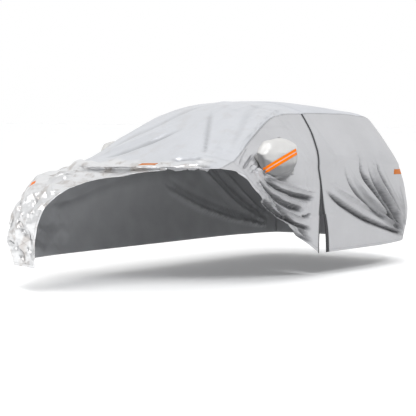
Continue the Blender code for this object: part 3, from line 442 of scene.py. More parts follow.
def along(name):
    """Distance along the middle line of a row of PROFILE."""
    return float(LENGTHS[[row[0] for row in PROFILE].index(name)])


def seam(u):
    """The left seam at distances u along the middle line."""
    return np.stack([smooth(LENGTHS, column(PROFILE, k), u) for k in (3, 4, 5)], axis=-1)


def top(x, u):
    """The top panel's surface at x across and u along."""
    edge = seam(u)
    y = smooth(LENGTHS, MIDDLE_Y, u)
    z = smooth(LENGTHS, MIDDLE_Z, u)
    w = np.clip(np.abs(x) / edge[..., 0], 0, TOP_PAST) ** CROWN_POWER
    return np.stack([x, y + (edge[..., 1] - y) * w, z + (edge[..., 2] - z) * w], axis=-1)


def seam_at(y):
    """x and z of the seam over the side at y, on its long upper stretch."""
    u = np.linspace(along("bonnet edge") - SEAM_PAST[0], along("spoiler") + SEAM_PAST[1], CURVE_POINTS)
    line = seam(u)
    order = np.argsort(line[:, 1])
    return [np.interp(y, line[order, 1], line[order, k]) for k in (0, 2)]


def flank(y, z):
    """Half width of the side at y and z."""
    full, shoulder, soft = (smooth(column(FLANK, 0), column(FLANK, k), y) for k in (1, 2, 3))
    edge_x, edge_z = seam_at(y)
    up = np.clip((z - shoulder) / np.maximum(edge_z - shoulder, LEAST_TURN), 0, FLANK_PAST[0])
    down = np.clip((shoulder - z) / (shoulder - HEM), 0, FLANK_PAST[1])
    turned = (np.hypot(up, soft) - soft) / (np.hypot(1, soft) - soft)
    return full - (full - edge_x) * turned - HEM_TUCK * down**2


def coons(upper, lower, left, right):
    """A grid between four edges, rows down from upper to lower, columns from left to right."""
    s = np.linspace(0, 1, len(upper))[None, :, None]
    t = np.linspace(0, 1, len(left))[:, None, None]
    above = (1 - s) * (1 - t) * upper[0] + s * (1 - t) * upper[-1]
    flat = above + (1 - s) * t * lower[0] + s * t * lower[-1]
    return (1 - t) * upper[None] + t * lower[None] + (1 - s) * left[:, None] + s * right[:, None] - flat


def side_patch(upper, lower, left, right):
    """A side panel's grid: flat in y and z between its edges and bulged out to the flank."""
    edges = [np.array(e, float) for e in (upper, lower, left, right)]
    grid = coons(*edges)
    miss = [np.stack([e[:, 0] - flank(e[:, 1], e[:, 2])], axis=-1) for e in edges]
    grid[..., 0] = flank(grid[..., 1], grid[..., 2]) + coons(*miss)[..., 0]
    return grid


def evenly(points, n):
    """n + 1 points spread evenly along a smooth curve through the points."""
    points = np.asarray(points, float)
    run = run_of(points)
    fine = np.linspace(0, run[-1], CURVE_POINTS)
    line = np.stack([smooth(run, points[:, k], fine) for k in range(points.shape[1])], axis=-1)
    far = run_of(line)
    at = np.linspace(0, far[-1], n + 1)
    return np.stack([np.interp(at, far, line[:, k]) for k in range(points.shape[1])], axis=-1)


# ---------------------------------------------------------------- the drape
def top_stations(free_start, fold_start, place):
    """Distances along of the solid's rows at an edge of the top panel; place is the edge's column of FOLD."""
    edge = along("bonnet edge") + free_start
    return np.concatenate([
        np.linspace(0, edge, FRONT_ROWS, endpoint=False),
        np.linspace(edge, fold_start, FREE_ROWS, endpoint=False),
        fold_start + column(FOLD, place) / FOLD[-1][0] * (CORNER - fold_start),
        np.linspace(CORNER, ZIP_TOP[0], SCREEN_ROWS + 1)[1:],
        np.linspace(ZIP_TOP[1], along("spoiler"), ROOF_ROWS, endpoint=False),
        np.linspace(along("spoiler"), LENGTHS[-1], REAR_ROWS + 1),
    ])


def top_grid():
    """The top panel's points, rows from front to back and columns from right to left."""
    right = top_stations(0, FOLD_STARTS[0], 0)
    left = top_stations(FREE_START, FOLD_STARTS[1], 1)
    whole = np.arange(len(right))
    rows = np.linspace(0, whole[-1], whole[-1] * FINE + 1)
    right = np.interp(rows, whole, right)
    left = np.interp(rows, whole, left)
    c = np.linspace(0, 1, ACROSS * FINE_ACROSS + 1)
    u = right[:, None] + (left - right)[:, None] * c
    lift = np.zeros_like(u)
    risen = eased(c / FOLD_RISES / 2)
    lapped = eased((c - FOLD_RISES) / FOLD_LAPS)
    start = FOLD_STARTS[0] + (FOLD_STARTS[1] - FOLD_STARTS[0]) * c
    share = (CORNER - start) / FOLD[-1][0]
    k = rows - (FRONT_ROWS + FREE_ROWS)
    inside = (k >= 0) & (k <= len(FOLD) - 1)
    flat, folded, high = (smooth(np.arange(len(FOLD)), column(FOLD, n), k[inside])[:, None] for n in range(3))
    u[inside] = start + share * (flat + (folded - flat) * lapped)
    lift[inside] = high * risen * share
    free = column(FREE_TOP, 0) <= CORNER
    free_x = smooth(column(FREE_TOP, 0)[free], column(FREE_TOP, 1)[free], u[:, -1])
    half = seam(u)[..., 0]
    left_x = np.where(u[:, -1] < CORNER - 1e-6, free_x, half[:, -1])
    x = -half + c * (left_x[:, None] + half)
    x[:, 0] = -half[:, 0]
    across = top(x + STEP, u) - top(x - STEP, u)
    onward = top(x, u + STEP) - top(x, u - STEP)
    return top(x, u) + unit(np.cross(across, onward)) * lift[..., None]


def quads(rows, columns, hole=None):
    """Faces of a grid of points, without the cells of the hole: first and last row, first and last column."""
    i, j = np.meshgrid(np.arange(rows - 1), np.arange(columns - 1), indexing="ij")
    keep = np.ones(i.shape, bool)
    if hole:
        keep[hole[0] : hole[1], hole[2] : hole[3]] = False
    a = (i * columns + j)[keep]
    return np.stack([a, a + 1, a + columns + 1, a + columns], axis=1)


def zip_line(k, start):
    """Points down a zip edge from a seam point to the hem; k is 1 for the front edge, 2 for the rear."""
    z = np.linspace(start[2], ZIP[-1][0], DOOR_ROWS * FINE + 1)
    y = smooth(-column(ZIP, 0), column(ZIP, k), -z)
    points = np.stack([flank(y, z), y, z], axis=-1)
    fade = np.clip(1 - (start[2] - z) / ZIP_EASE, 0, 1)[:, None]
    return points + (start - points[0]) * fade


def bowed(start, end, n):
    """n + 1 points of the short free edge at the door's top corner, which turns down towards its end."""
    share = np.linspace(0, 1, n + 1)
    turn = share * math.pi / 2
    level = share + (np.sin(turn) - share) * FREE_BOW
    drop = share + (1 - np.cos(turn) - share) * FREE_BOW
    return start + (end - start) * np.stack([level, level, drop], axis=-1)


def hem_line(start, end, shares):
    """Points along a side's hem at shares of the way, true to the corners it joins."""
    y = start[1] + (end[1] - start[1]) * shares
    z = start[2] + (end[2] - start[2]) * shares
    points = np.stack([flank(y, z), y, z], axis=-1)
    for corner in (start, end):
        miss = corner[0] - flank(corner[1], corner[2])
        points[:, 0] += miss * eased(1 - np.abs(y - corner[1]) / HEM_EASE)
    return points


def tape_grid(edge, width, side):
    """A zip tape down a panel's edge, reaching width out from it towards side."""
    outer = edge.copy()
    outer[:, 1] += side * width
    outer[:, 0] = edge[:, 0] + flank(outer[:, 1], outer[:, 2]) - flank(edge[:, 1], edge[:, 2])
    return np.stack([edge, (edge + outer) / 2, outer], axis=1)


def loop_of(block, columns):
    """Indices round the edge of a block of cells in a grid, in turn."""
    r0, r1, c0, c1 = block
    ring = [(r0, c) for c in range(c0, c1)] + [(r, c1) for r in range(r0, r1)]
    ring += [(r1, c) for c in range(c1, c0, -1)] + [(r, c0) for r in range(r1, r0, -1)]
    return [r * columns + c for r, c in ring]


def pouch(base, side, size, middle_y, middle_z):
    """A mirror pocket: rings of points from its sewn base out over the mirror to a tip, and its faces."""
    flat = base[:, 1:] - base[:, 1:].mean(axis=0)
    angle = np.arctan2(flat[:, 1], flat[:, 0])
    around = np.stack([np.cos(angle), np.sin(angle)], axis=-1)
    around = np.sign(around) * np.abs(around) ** (2 / POCKET_SQUARE)
    rings = [base]
    for along_side, outward, x, y, half_y, half_z, lean in POCKET_RINGS:
        rise = around[:, 1] * half_z
        ahead = y + around[:, 0] * half_y + lean * rise
        aim_y, aim_z = middle_y + ahead * size, middle_z + rise * size
        out = np.maximum(POCKET_ROOT_X + (x - POCKET_ROOT_X) * size, flank(aim_y, aim_z) + POCKET_ROOM)
        aim = np.stack([side * out, aim_y, aim_z], axis=-1)
        rings.append(base + (aim - base) * np.array([outward, along_side, along_side]))
    tip_x = side * (POCKET_ROOT_X + (POCKET_TIP[0] - POCKET_ROOT_X) * size)
    tip = np.array([tip_x, middle_y + POCKET_TIP[1] * size, middle_z])
    rings = np.stack(rings + [np.tile(tip, (len(base), 1))])
    apart = np.linalg.norm(np.diff(rings, axis=0), axis=2).mean(axis=1)
    knots = np.concatenate([[0], np.cumsum(apart)])
    steps = (len(rings) - 1) * RING_STEPS
    at = np.interp(np.linspace(0, len(knots) - 1, steps + 1), np.arange(len(knots)), knots)
    fine = np.apply_along_axis(lambda values: smooth(knots, values, at), 0, rings)[:-1]
    n = len(base)
    here = np.arange(n)
    onward = (here + 1) % n
    bands = [np.stack([here, onward, onward + n, here + n], axis=1) + r * n for r in range(steps - 1)]
    last = np.stack([here, onward, np.full(n, n), np.full(n, n)], axis=1) + (steps - 1) * n
    return [np.concatenate([fine.reshape(-1, 3), tip[None]]), np.concatenate(bands + [last])]


def build_cloth():
    """Every piece's points and faces on one smooth drape."""
    pieces = {}

    def add(name, grid, hole=None, pocket=None):
        """A panel or tape, and the mirror pocket sewn to its hole."""
        points = grid.reshape(-1, 3)
        if not pocket:
            pieces[name] = [points, quads(*grid.shape[:2])]
            return
        block = tuple(n * FINE for n in hole)
        pieces[name] = [points, quads(*grid.shape[:2], block)]
        pieces[pocket] = pouch(points[loop_of(block, grid.shape[1])], *MIRRORS[pocket])

    strip = top_grid()
    first = FRONT_ROWS * FINE
    fold_end = (FRONT_ROWS + FREE_ROWS + len(FOLD) - 1) * FINE
    zip_front = fold_end + SCREEN_ROWS * FINE
    zip_rear = zip_front + FINE
    rear_top = zip_rear + ROOF_ROWS * FINE
    add("top_panel", strip)

    right = strip[:, 0] * MIRRORED
    upper = right[first : rear_top + 1]
    shares = (upper[:, 1] - upper[0, 1]) / (upper[-1, 1] - upper[0, 1])
    lower = hem_line(right[0], right[-1], shares)
    grid = side_patch(upper, lower, right[first::-1], right[rear_top:]) * MIRRORED
    add("side_right", grid, POCKET_HOLE_RIGHT, "mirror_pocket_right")

    left = strip[:, -1]
    front_edge = zip_line(1, left[zip_front])
    free_y, free_z = evenly(FREE_SIDE, SCREEN_ROWS * FINE).T
    lower = np.stack([flank(free_y, free_z), free_y, free_z], axis=-1)
    lower[-1] = front_edge[-1]
    short = bowed(left[fold_end], lower[0], DOOR_ROWS * FINE)
    grid = side_patch(left[fold_end : zip_front + 1], lower, short, front_edge)
    add("side_left_front", grid, POCKET_HOLE_LEFT, "mirror_pocket_left")

    rear_edge = zip_line(2, left[zip_rear])
    corner = left[rear_top:]
    halves = np.repeat(corner, 2, axis=0)[:-1]
    halves[1::2] = (corner[:-1] + corner[1:]) / 2
    shares = 1 - (1 - np.linspace(0, 1, ROOF_ROWS * FINE + 1)) ** HEM_GATHER
    lower = hem_line(rear_edge[-1], corner[-1], shares)
    add("side_left_rear", side_patch(left[zip_rear : rear_top + 1], lower, rear_edge, halves))

    rear_width = smooth(-column(ZIP, 0), column(ZIP, 3), -rear_edge[:, 2])
    add("zip_tape_front", tape_grid(front_edge, np.full(len(front_edge), ZIP_TAPE), 1))
    add("zip_tape_rear", tape_grid(rear_edge, rear_width, -1))
    return pieces


def directions(points, faces):
    """Outward directions at the points of a set of four-sided faces."""
    total = np.zeros_like(points)
    a, b, c, d = faces.T
    normal = unit(np.cross(points[c] - points[a], points[d] - points[b]))
    for corner in (a, b, c, d):
        np.add.at(total, corner, normal)
    return unit(total)


def turned(points, faces, outward):
    """The faces turned over if they look the other way than outward, a direction or one for each face."""
    a, b, c, d = (points[faces[:, k]] for k in range(4))
    if (np.cross(c - a, d - b) * outward).sum() < 0:
        return faces[:, ::-1]
    return faces


def face_outward(name, points, faces):
    """The faces turned so that they look away from the middle line, or from a mirror pocket's middle."""
    middle = sum(points[faces[:, k]] for k in range(4)) / 4
    if name in MIRRORS:
        inside = points.mean(axis=0) * np.array([POCKET_ROOT, 1, 1])
    else:
        inside = middle * np.array([0, 1, 0]) + np.array([0, 0, MIDDLE_LINE[1]])
        inside[:, 1] = np.clip(inside[:, 1], -MIDDLE_LINE[0], MIDDLE_LINE[0])
    return turned(points, faces, middle - inside)


def weld(pieces):
    """One numbering for all pieces' points, in which sewn edges share their points."""
    everything = np.concatenate([points for points, _ in pieces.values()])
    _, first, index = np.unique(np.round(everything, 5), axis=0, return_index=True, return_inverse=True)
    index = index.reshape(-1)
    places, start = {}, 0
    for name, (points, _) in pieces.items():
        places[name] = index[start : start + len(points)]
        start += len(points)
    return everything[first], places


# ---------------------------------------------------------------- folds and creases
def on_side(y, z):
    return np.array([float(flank(np.array([y]), np.array([z]))[0]), y, z])


def on_far_side(y, z):
    return on_side(y, z) * MIRRORED


def on_top(x, y):
    """The place on the bonnet, the windscreen or the roof at x and y."""
    u = np.linspace(along("bonnet edge"), along("spoiler"), CURVE_POINTS)
    line = top(np.full_like(u, x), u)
    return np.array([x, y, np.interp(y, line[:, 1], line[:, 2])])


def on_nose(x, z):
    """The place on the nose at x and z."""
    u = np.linspace(0, along("bonnet edge"), CURVE_POINTS)
    line = top(np.full_like(u, x), u)
    return np.array([x, np.interp(z, line[:, 2], line[:, 1]), z])


def fold_lift(points, normals, folds, place, upward):
    """How far the folds of a table lift the points, and how much painted shade their troughs get.

    place turns a table's two numbers into a point of the drape. A crest is steeper on its lower side and a
    trough on its upper one; upward is 1 where that is to the left of a fold's run seen from outside, -1 where
    it is to the right, and 0 where both sides are alike.
    """
    lift, dark = np.zeros((2, len(points)))
    for wide0, wide1, high, starts, stops, *marks in folds:
        path = evenly([place(*mark) for mark in marks], FOLD_POINTS)
        reach = max(wide0, wide1) * (1 + FOLD_LEAN)
        near = np.all((points > path.min(axis=0) - reach) & (points < path.max(axis=0) + reach), axis=1)
        share = np.linspace(0, 1, len(path))
        away = np.linalg.norm(points[near][:, None] - path[None], axis=2)
        nearest = away.argmin(axis=1)
        onward = unit(np.gradient(path, axis=0))[nearest]
        above = (np.cross(normals[near], onward) * (points[near] - path[nearest])).sum(axis=1) > 0
        lean = upward * FOLD_LEAN * np.where(above, 1, -1) * (1 if high > 0 else -1)
        ends = eased(np.minimum(share / starts, (1 - share) / stops)[nearest] + FOLD_END_HEIGHT)
        wide = (wide0 + (wide1 - wide0) * share[nearest]) * (FOLD_END_WIDTH + (1 - FOLD_END_WIDTH) * ends)
        away = away.min(axis=1)
        across = np.clip(away / (wide * (1 + lean)), 0, 1)
        if high > 0:
            lift[near] += high * ends * (1 - across) ** CREST_SHARP * (1 + CREST_ROUND * across)
        else:
            lift[near] += high * ends * (1 - across**2) ** 2
            # painted shade in the core of a trough
            core = np.clip(away / (wide * (1 + lean) * DARK_WIDTH), 0, 1)
            dark[near] += ends * (1 - core**2) ** 1.5 * -high / DARK_DEPTH
    return lift, np.clip(dark, 0, 1)


def edge_distance(points, edge):
    """How far each point is from the nearest of the edge's points, up to EDGE_FAR."""
    tree = KDTree(len(edge))
    for k, place in enumerate(points[edge]):
        tree.insert(place, k)
    tree.balance()
    out = np.full(len(points), EDGE_FAR)
    low, high = points[edge].min(axis=0) - EDGE_FAR, points[edge].max(axis=0) + EDGE_FAR
    for k in np.flatnonzero(((points > low) & (points < high)).all(axis=1)):
        out[k] = min(tree.find(points[k])[2], EDGE_FAR)
    return out


def edges_of(faces):
    """The edges of four-sided faces as sorted pairs, each once, and how many faces use each."""
    pairs = np.concatenate([faces[:, [k, (k + 1) % 4]] for k in range(4)])
    pairs = pairs[pairs[:, 0] != pairs[:, 1]]
    return np.unique(np.sort(pairs, axis=1), axis=0, return_counts=True)


def creased(points, normals, weight, seed, count, length, width, height, sharp):
    """Lifts from short straight creases at random places; weight says how much of them each point gets."""
    rng = np.random.default_rng(seed)
    lift = np.zeros(len(points))
    picks = rng.choice(len(points), count, p=weight / weight.sum())
    for pick in picks:
        turn, one, two, three = rng.random(4)
        normal = normals[pick]
        level = unit(np.cross(normal, LEVEL_FROM))
        ahead = level * math.cos(turn * math.pi) + np.cross(normal, level) * math.sin(turn * math.pi)
        half = (length[0] + (length[1] - length[0]) * one) / 2
        wide = width[0] + (width[1] - width[0]) * two
        high = height * (2 * three - 1)
        offset = points - points[pick]
        near = np.flatnonzero((np.abs(offset) < half + wide).all(axis=1))
        offset = offset[near]
        run = np.abs(offset @ ahead) / half
        side = np.abs(offset @ np.cross(normal, ahead)) / wide
        lift[near] += high * np.clip(1 - side, 0, 1) ** sharp * eased(1 - run)
    return lift * weight


def crumpled(points, seed, waves):
    """Lifts of crumpled cloth: flat facets between sharp creases, from bent saw-tooth waves."""
    rng = np.random.default_rng(seed)
    lift = np.zeros(len(points))
    far, often_bent = WAVE_BEND
    for count, often, height in waves:
        for _ in range(count):
            ahead, bend = unit(rng.normal(size=(2, 3)))
            start, turn = rng.random(2)
            phase = points @ ahead * often + start
            phase = phase + far * np.sin(2 * math.pi * (points @ bend * often * often_bent + turn))
            lift += height * (4 * np.abs(phase - np.floor(phase + 0.5)) - 1)
    return lift


def faceted(points, side):
    """The points of a mirror pocket drawn in to the flat facets its cloth lies in."""
    middle = points.mean(axis=0)
    offset = points - middle
    share = np.ones(len(points))
    for out, cut in POCKET_FACETS:
        reach = offset @ unit(np.array(out) * np.array([side, 1, 1]))
        share = np.minimum(share, reach.max() * (1 - cut) / np.maximum(reach, TINY))
    return middle + offset * share[:, None]


# ---------------------------------------------------------------- materials
class Nodes:
    """The nodes of a material or the world as they are put together."""

    def __init__(self, owner):
        owner.use_nodes = True
        self.owner = owner
        self.tree = owner.node_tree
        self.places = self.node("ShaderNodeTexCoord").outputs
        self.place = self.places["Object"]

    def feed(self, socket, value):
        """Give an input a value of its own or another node's output."""
        if isinstance(value, bpy.types.NodeSocket):
            self.tree.links.new(value, socket)
        else:
            socket.default_value = value

    def feed_all(self, made, inputs):
        for key, value in inputs.items():
            self.feed(made.inputs[key.replace("_", " ")], value)
        return made

    def node(self, kind, **inputs):
        """A new node with some of its inputs set."""
        return self.feed_all(self.tree.nodes.new(kind), inputs)

    def surface(self, **inputs):
        """The material, with some inputs of its surface set."""
        self.feed_all(self.tree.nodes["Principled BSDF"], inputs)
        return self.owner

    def maths(self, operation, *values, clamp=False):
        made = self.node("ShaderNodeMath")
        made.operation = operation
        made.use_clamp = clamp
        for socket, value in zip(made.inputs, values):
            self.feed(socket, value)
        return made.outputs[0]

    def times(self, a, b, clamp=False):
        return self.maths("MULTIPLY", a, b, clamp=clamp)

    def mixed(self, factor, a, b):
        """A colour mixed between two colours or colour outputs."""
        made = self.node("ShaderNodeMix")
        made.data_type = "RGBA"
        for k, value in ((0, factor), (6, a), (7, b)):
            self.feed(made.inputs[k], value)
        return made.outputs[2]

    def attribute(self, name):
        made = self.node("ShaderNodeAttribute")
        made.attribute_name = name
        return made.outputs["Fac"]

    def noise(self, scale, detail, place=None):
        at = self.place if place is None else place
        return self.node("ShaderNodeTexNoise", Vector=at, Scale=scale, Detail=detail).outputs["Fac"]

    def waves(self, scale, across="X"):
        made = self.node("ShaderNodeTexWave", Vector=self.place, Scale=scale)
        made.bands_direction = across
        return made.outputs["Fac"]

    def ramp(self, value, low, high, shape="LINEAR"):
        """0 to 1 as a value goes from low to high."""
        made = self.node("ShaderNodeMapRange", Value=value, From_Min=low, From_Max=high)
        made.interpolation_type = shape
        return made.outputs["Result"]

    def band(self, value, middle, half):
        """1 where a value is within half of the middle, 0 elsewhere."""
        return self.maths("LESS_THAN", self.maths("ABSOLUTE", self.maths("SUBTRACT", value, middle)), half)

    def ridges(self, scale, turn):
        """Bent saw-tooth bands, for the small facets of crumpled foil."""
        at = self.node("ShaderNodeMapping", Vector=self.place, Rotation=turn).outputs[0]
        made = self.node(
            "ShaderNodeTexWave", Vector=at, Scale=scale, Distortion=4.0, Detail=0.5, Detail_Scale=0.6
        )
        made.wave_profile = "TRI"
        return made.outputs["Fac"]

    def bumps(self, *layers):
        """Bumps laid over each other. Of each: height, strength, distance in metres."""
        under = {}
        for height, strength, distance in layers:
            made = self.node("ShaderNodeBump", Height=height, Strength=strength, Distance=distance, **under)
            under = {"Normal": made.outputs[0]}
        return made.outputs[0]


def material(name):
    return Nodes(bpy.data.materials.new(name))


def shade(colour, share):
    """A share of a colour, opaque."""
    return tuple(min(c * share, 1) for c in colour) + (1,)


def silver(name, colour, metallic, rough):
    """Silver coated cloth with a fine weave, crinkled like foil where the attribute foil says so, with painted
    shade where the attribute fold says so.
    """
    look = material(name)
    foil, painted_shade, hem, seam = (look.attribute(key) for key in ("foil", "fold", "hem", "seam"))
    rub = look.noise(38.0, 4.0)
    squeezed = look.node("ShaderNodeMapping", Vector=look.place, Scale=(6.0, 6.0, 75.0))
    streak = look.noise(1.0, 3.0, squeezed.outputs[0])
    tone = look.mixed(look.noise(3.0, 5.0), shade(colour, TONES[0]), shade(colour, TONES[1]))
    tone = look.mixed(look.times(foil, FOIL_TINT), tone, FOIL_TONE)
    patch = look.ramp(look.noise(9.0, 2.0), *BROWN_PATCH)
    tone = look.mixed(look.times(look.times(patch, foil), BROWN_TINT), tone, BROWN)
    # painted shade in the folds' troughs and on the pockets' undersides
    tone = look.mixed(look.times(painted_shade, TROUGH_TINT, True), tone, TROUGH)
    wide = look.ridges(2.4, (0.4, 0.9, 0.2))
    middling = look.ridges(4.5, (1.1, 0.3, 1.9))
    small = look.maths("ADD", look.ridges(7.0, (2.1, 0.5, 0.7)), look.ridges(10.0, (0.2, 2.0, 1.2)))
    lines = look.maths("MAXIMUM", look.band(wide, 0.0, 0.05), look.band(middling, 0.0, 0.07))
    lines = look.times(look.times(lines, look.times(foil, foil)), look.times(patch, CREASE_TINT))
    tone = look.mixed(lines, tone, CREASE)
    stitch = look.maths("MAXIMUM", look.band(hem, *HEM_STITCH), look.band(seam, *SEAM_STITCH))
    groove = look.maths("MAXIMUM", stitch, look.band(seam, *SEAM_GROOVE))
    tone = look.mixed(look.times(groove, GROOVE_TINT), tone, GROOVE)
    spread = look.maths("MULTIPLY_ADD", rub, ROUGH_SPREAD, rough - ROUGH_SPREAD / 2)

    facets = look.maths("ADD", wide, middling)
    crumple = look.times(look.maths("ADD", facets, look.times(small, 0.25)), foil)
    edge = look.maths("SUBTRACT", look.ramp(hem, *HEM_TURNED), groove)
    weave = look.maths("ADD", look.waves(260.0), look.waves(260.0, "Z"))
    return look.surface(
        Base_Color=tone,
        Metallic=look.maths("MULTIPLY_ADD", foil, FOIL_METALLIC - metallic, metallic),
        Roughness=look.maths("SUBTRACT", spread, look.times(foil, FOIL_GLOSS)),
        Normal=look.bumps(
            (crumple, 0.5, 0.006), (rub, 0.25, 0.004), (streak, 0.45, 0.003), (edge, 0.5, 0.0015),
            (weave, 0.12, 0.0006),
        ),
    )


def lining():
    """The soft grey inside of the cloth."""
    look = material("lining")
    return look.surface(
        Base_Color=look.mixed(look.noise(6.0, 6.0), (0.27, 0.275, 0.285, 1), (0.38, 0.385, 0.40, 1)),
        Roughness=0.9,
        Sheen_Weight=0.25,
        Normal=look.bumps((look.noise(420.0, 3.0), 0.4, 0.001)),
    )


def dark_tape():
    """Woven tape of the zip."""
    look = material("dark_tape")
    return look.surface(
        Base_Color=look.mixed(look.noise(40.0, 4.0), (0.018, 0.018, 0.020, 1), (0.045, 0.046, 0.050, 1)),
        Roughness=0.75,
        Normal=look.bumps((look.waves(300.0, "Z"), 0.4, 0.0006)),
    )


def orange_strip(name, colour, lined):
    """Orange reflective sheet, lined if it is two bands with a grey line between."""
    look = material(name)
    parts = look.node("ShaderNodeSeparateXYZ", Vector=look.node("ShaderNodeUVMap").outputs[0])
    off = look.maths("ABSOLUTE", look.maths("SUBTRACT", parts.outputs[1], 0.5))
    line = look.maths("LESS_THAN", off, STRIP_LINE)
    rim = look.maths("GREATER_THAN", off, STRIP_RIM)
    deep = shade(colour, 0.75)
    tone = look.mixed(look.noise(60.0, 3.0), deep, shade(colour, 1))
    tone = look.mixed(look.times(line, lined), tone, STRIP_GREY)
    cells = look.node("ShaderNodeTexVoronoi", Vector=look.place, Scale=420.0)
    return look.surface(
        Base_Color=look.mixed(rim, tone, deep),
        Roughness=0.5,
        Specular_IOR_Level=0.1,
        Normal=look.bumps((cells.outputs["Distance"], 0.3, 0.0008)),
    )


# ---------------------------------------------------------------- pieces
def linked(name, data):
    """A new object in the scene."""
    made = bpy.data.objects.new(name, data)
    bpy.context.collection.objects.link(made)
    return made


def sheet_object(name, points, faces, materials, values, uv=None, thick=CLOTH):
    """A sheet of cloth: its outer face at the points, its lining inside, and values stored on its points."""
    used = np.unique(faces)
    number = np.full(len(points), -1)
    number[used] = np.arange(len(used))
    mesh = bpy.data.meshes.new(name)
    loops = [tuple(dict.fromkeys(int(number[v]) for v in face)) for face in faces]
    mesh.from_pydata((points[used] - ROOF_REST).tolist(), [], loops)
    for key, numbers in values.items():
        layer = mesh.attributes.new(key, "FLOAT", "POINT")
        layer.data.foreach_set("value", numbers[used].astype(np.float32))
    if uv is not None:
        layer = mesh.uv_layers.new(name="UVMap")
        corners = np.zeros(len(mesh.loops), int)
        mesh.loops.foreach_get("vertex_index", corners)
        layer.data.foreach_set("uv", uv[used][corners].astype(np.float32).ravel())
    for each in materials:
        mesh.materials.append(each)
    mesh.shade_smooth()
    mesh.update()
    piece = linked(name, mesh)
    solid = piece.modifiers.new("thickness", "SOLIDIFY")
    solid.thickness = thick
    solid.offset = -1
    solid.material_offset = len(materials) - 1
    solid.material_offset_rim = 0
    return piece


def strip_on(name, cloth, middle, ahead, out, length, width, paint):
    """A reflective strip laid on the cloth round middle, seen from out."""
    ahead = unit(np.array(ahead, float))
    out = np.array(out, float)
    out = unit(out - ahead * (out @ ahead))
    across = np.cross(out, ahead)
    long_steps = max(int(length / STRIP_CELL), STRIP_CELLS)
    wide_steps = STRIP_CELLS
    points, uv, hits = [], [], []
    for i in range(long_steps + 1):
        for j in range(wide_steps + 1):
            s, t = i / long_steps - 0.5, j / wide_steps - 0.5
            start = np.array(middle) + ahead * s * length + across * t * width + out * STRIP_DEPTH
            place, normal, *_ = cloth.ray_cast(Vector(start), Vector(-out), 2 * STRIP_DEPTH)
            hits.append(place is not None)
            points.append(start if place is None else np.array(place) + np.array(normal) * STRIP_LIFT)
            uv.append((s + 0.5, t + 0.5))
    points = np.array(points)
    faces = quads(long_steps + 1, wide_steps + 1)
    faces = turned(points, faces[np.array(hits)[faces].all(axis=1)], out)
    return sheet_object(name, points, faces, [paint], {}, np.array(uv), STRIP_THICK)


def foil_share(points):
    """How much the cloth is crinkled like foil: fully over the bonnet and nose, not behind the windscreen."""
    x, y, z = points.T
    ragged = sum(high * np.sin(often * x + start) for high, often, start in FOIL_RAGGED)
    high, often, start = FOIL_RAGGED_SIDE
    ragged = ragged + high * np.sin(often * z + start) * (np.abs(x) > FOIL_RAGGED_X)
    low = eased((np.abs(x) - FOIL_SIDES[0]) / FOIL_SIDES[1])
    shares = 1 - eased((y - FOIL_END + FOIL_SIDE_AHEAD * low + ragged) / (FOIL_FADE + FOIL_SIDE_FADE * low))
    for where, reach in FOIL_PATCHES:
        away = np.linalg.norm(points[:, :2] - np.array(where), axis=1)
        shares = np.maximum(shares, 1 - eased(away / reach))
    return shares


def folded(points, every, places):
    """The points lifted by the listed folds, and the painted shade in the troughs there."""
    left = np.union1d(places["side_left_front"], places["side_left_rear"])
    right = np.unique(places["side_right"])
    upper = np.unique(places["top_panel"])
    far_folds = [fold for fold in QUARTER_FOLDS if fold[0] >= FAR_WIDTH]
    normals = directions(points, every)
    lift, painted_shade = np.zeros((2, len(points)))
    for where, folds, place, upward, share in (
        (left, SIDE_FOLDS, on_side, 1, 1.0),
        (right, far_folds, on_far_side, -1, FAR_SIDE),
        (upper, TOP_FOLDS, on_top, 0, 1.0),
        (upper, NOSE_FOLDS, on_nose, 0, 1.0),
    ):
        raised, dark = fold_lift(points[where], normals[where], folds, place, upward)
        lift[where] += raised * share
        painted_shade[where] = np.maximum(painted_shade[where], dark * share)
    return points + normals * lift[:, None], painted_shade


def bagged(points, places):
    """The points with the mirror pockets in facets, and how far out on its pocket each one lies, 0 to 1."""
    points = points.copy()
    bag = np.zeros(len(points))
    for pocket, (side, *_) in MIRRORS.items():
        rings = places[pocket][:-1].reshape((len(POCKET_RINGS) + 1) * RING_STEPS, -1)
        bag[rings] = eased(np.linspace(0, 1 / POCKET_RISE, len(rings)))[:, None]
        bag[places[pocket][-1]] = 1
        own = np.unique(places[pocket])
        points[own] += (faceted(points[own], side) - points[own]) * bag[own, None]
    return points, bag


def free_points(points, every, places):
    """The points on the cover's open edges: its hem and the free edge, not the seam at the rear corner."""
    pairs, counts = edges_of(every)
    rear_seam = np.zeros(len(points), bool)
    rear_seam[places["side_left_rear"].reshape(DOOR_ROWS * FINE + 1, -1)[:, -1]] = True
    return np.unique(pairs[(counts == 1) & ~rear_seam[pairs].all(axis=1)])


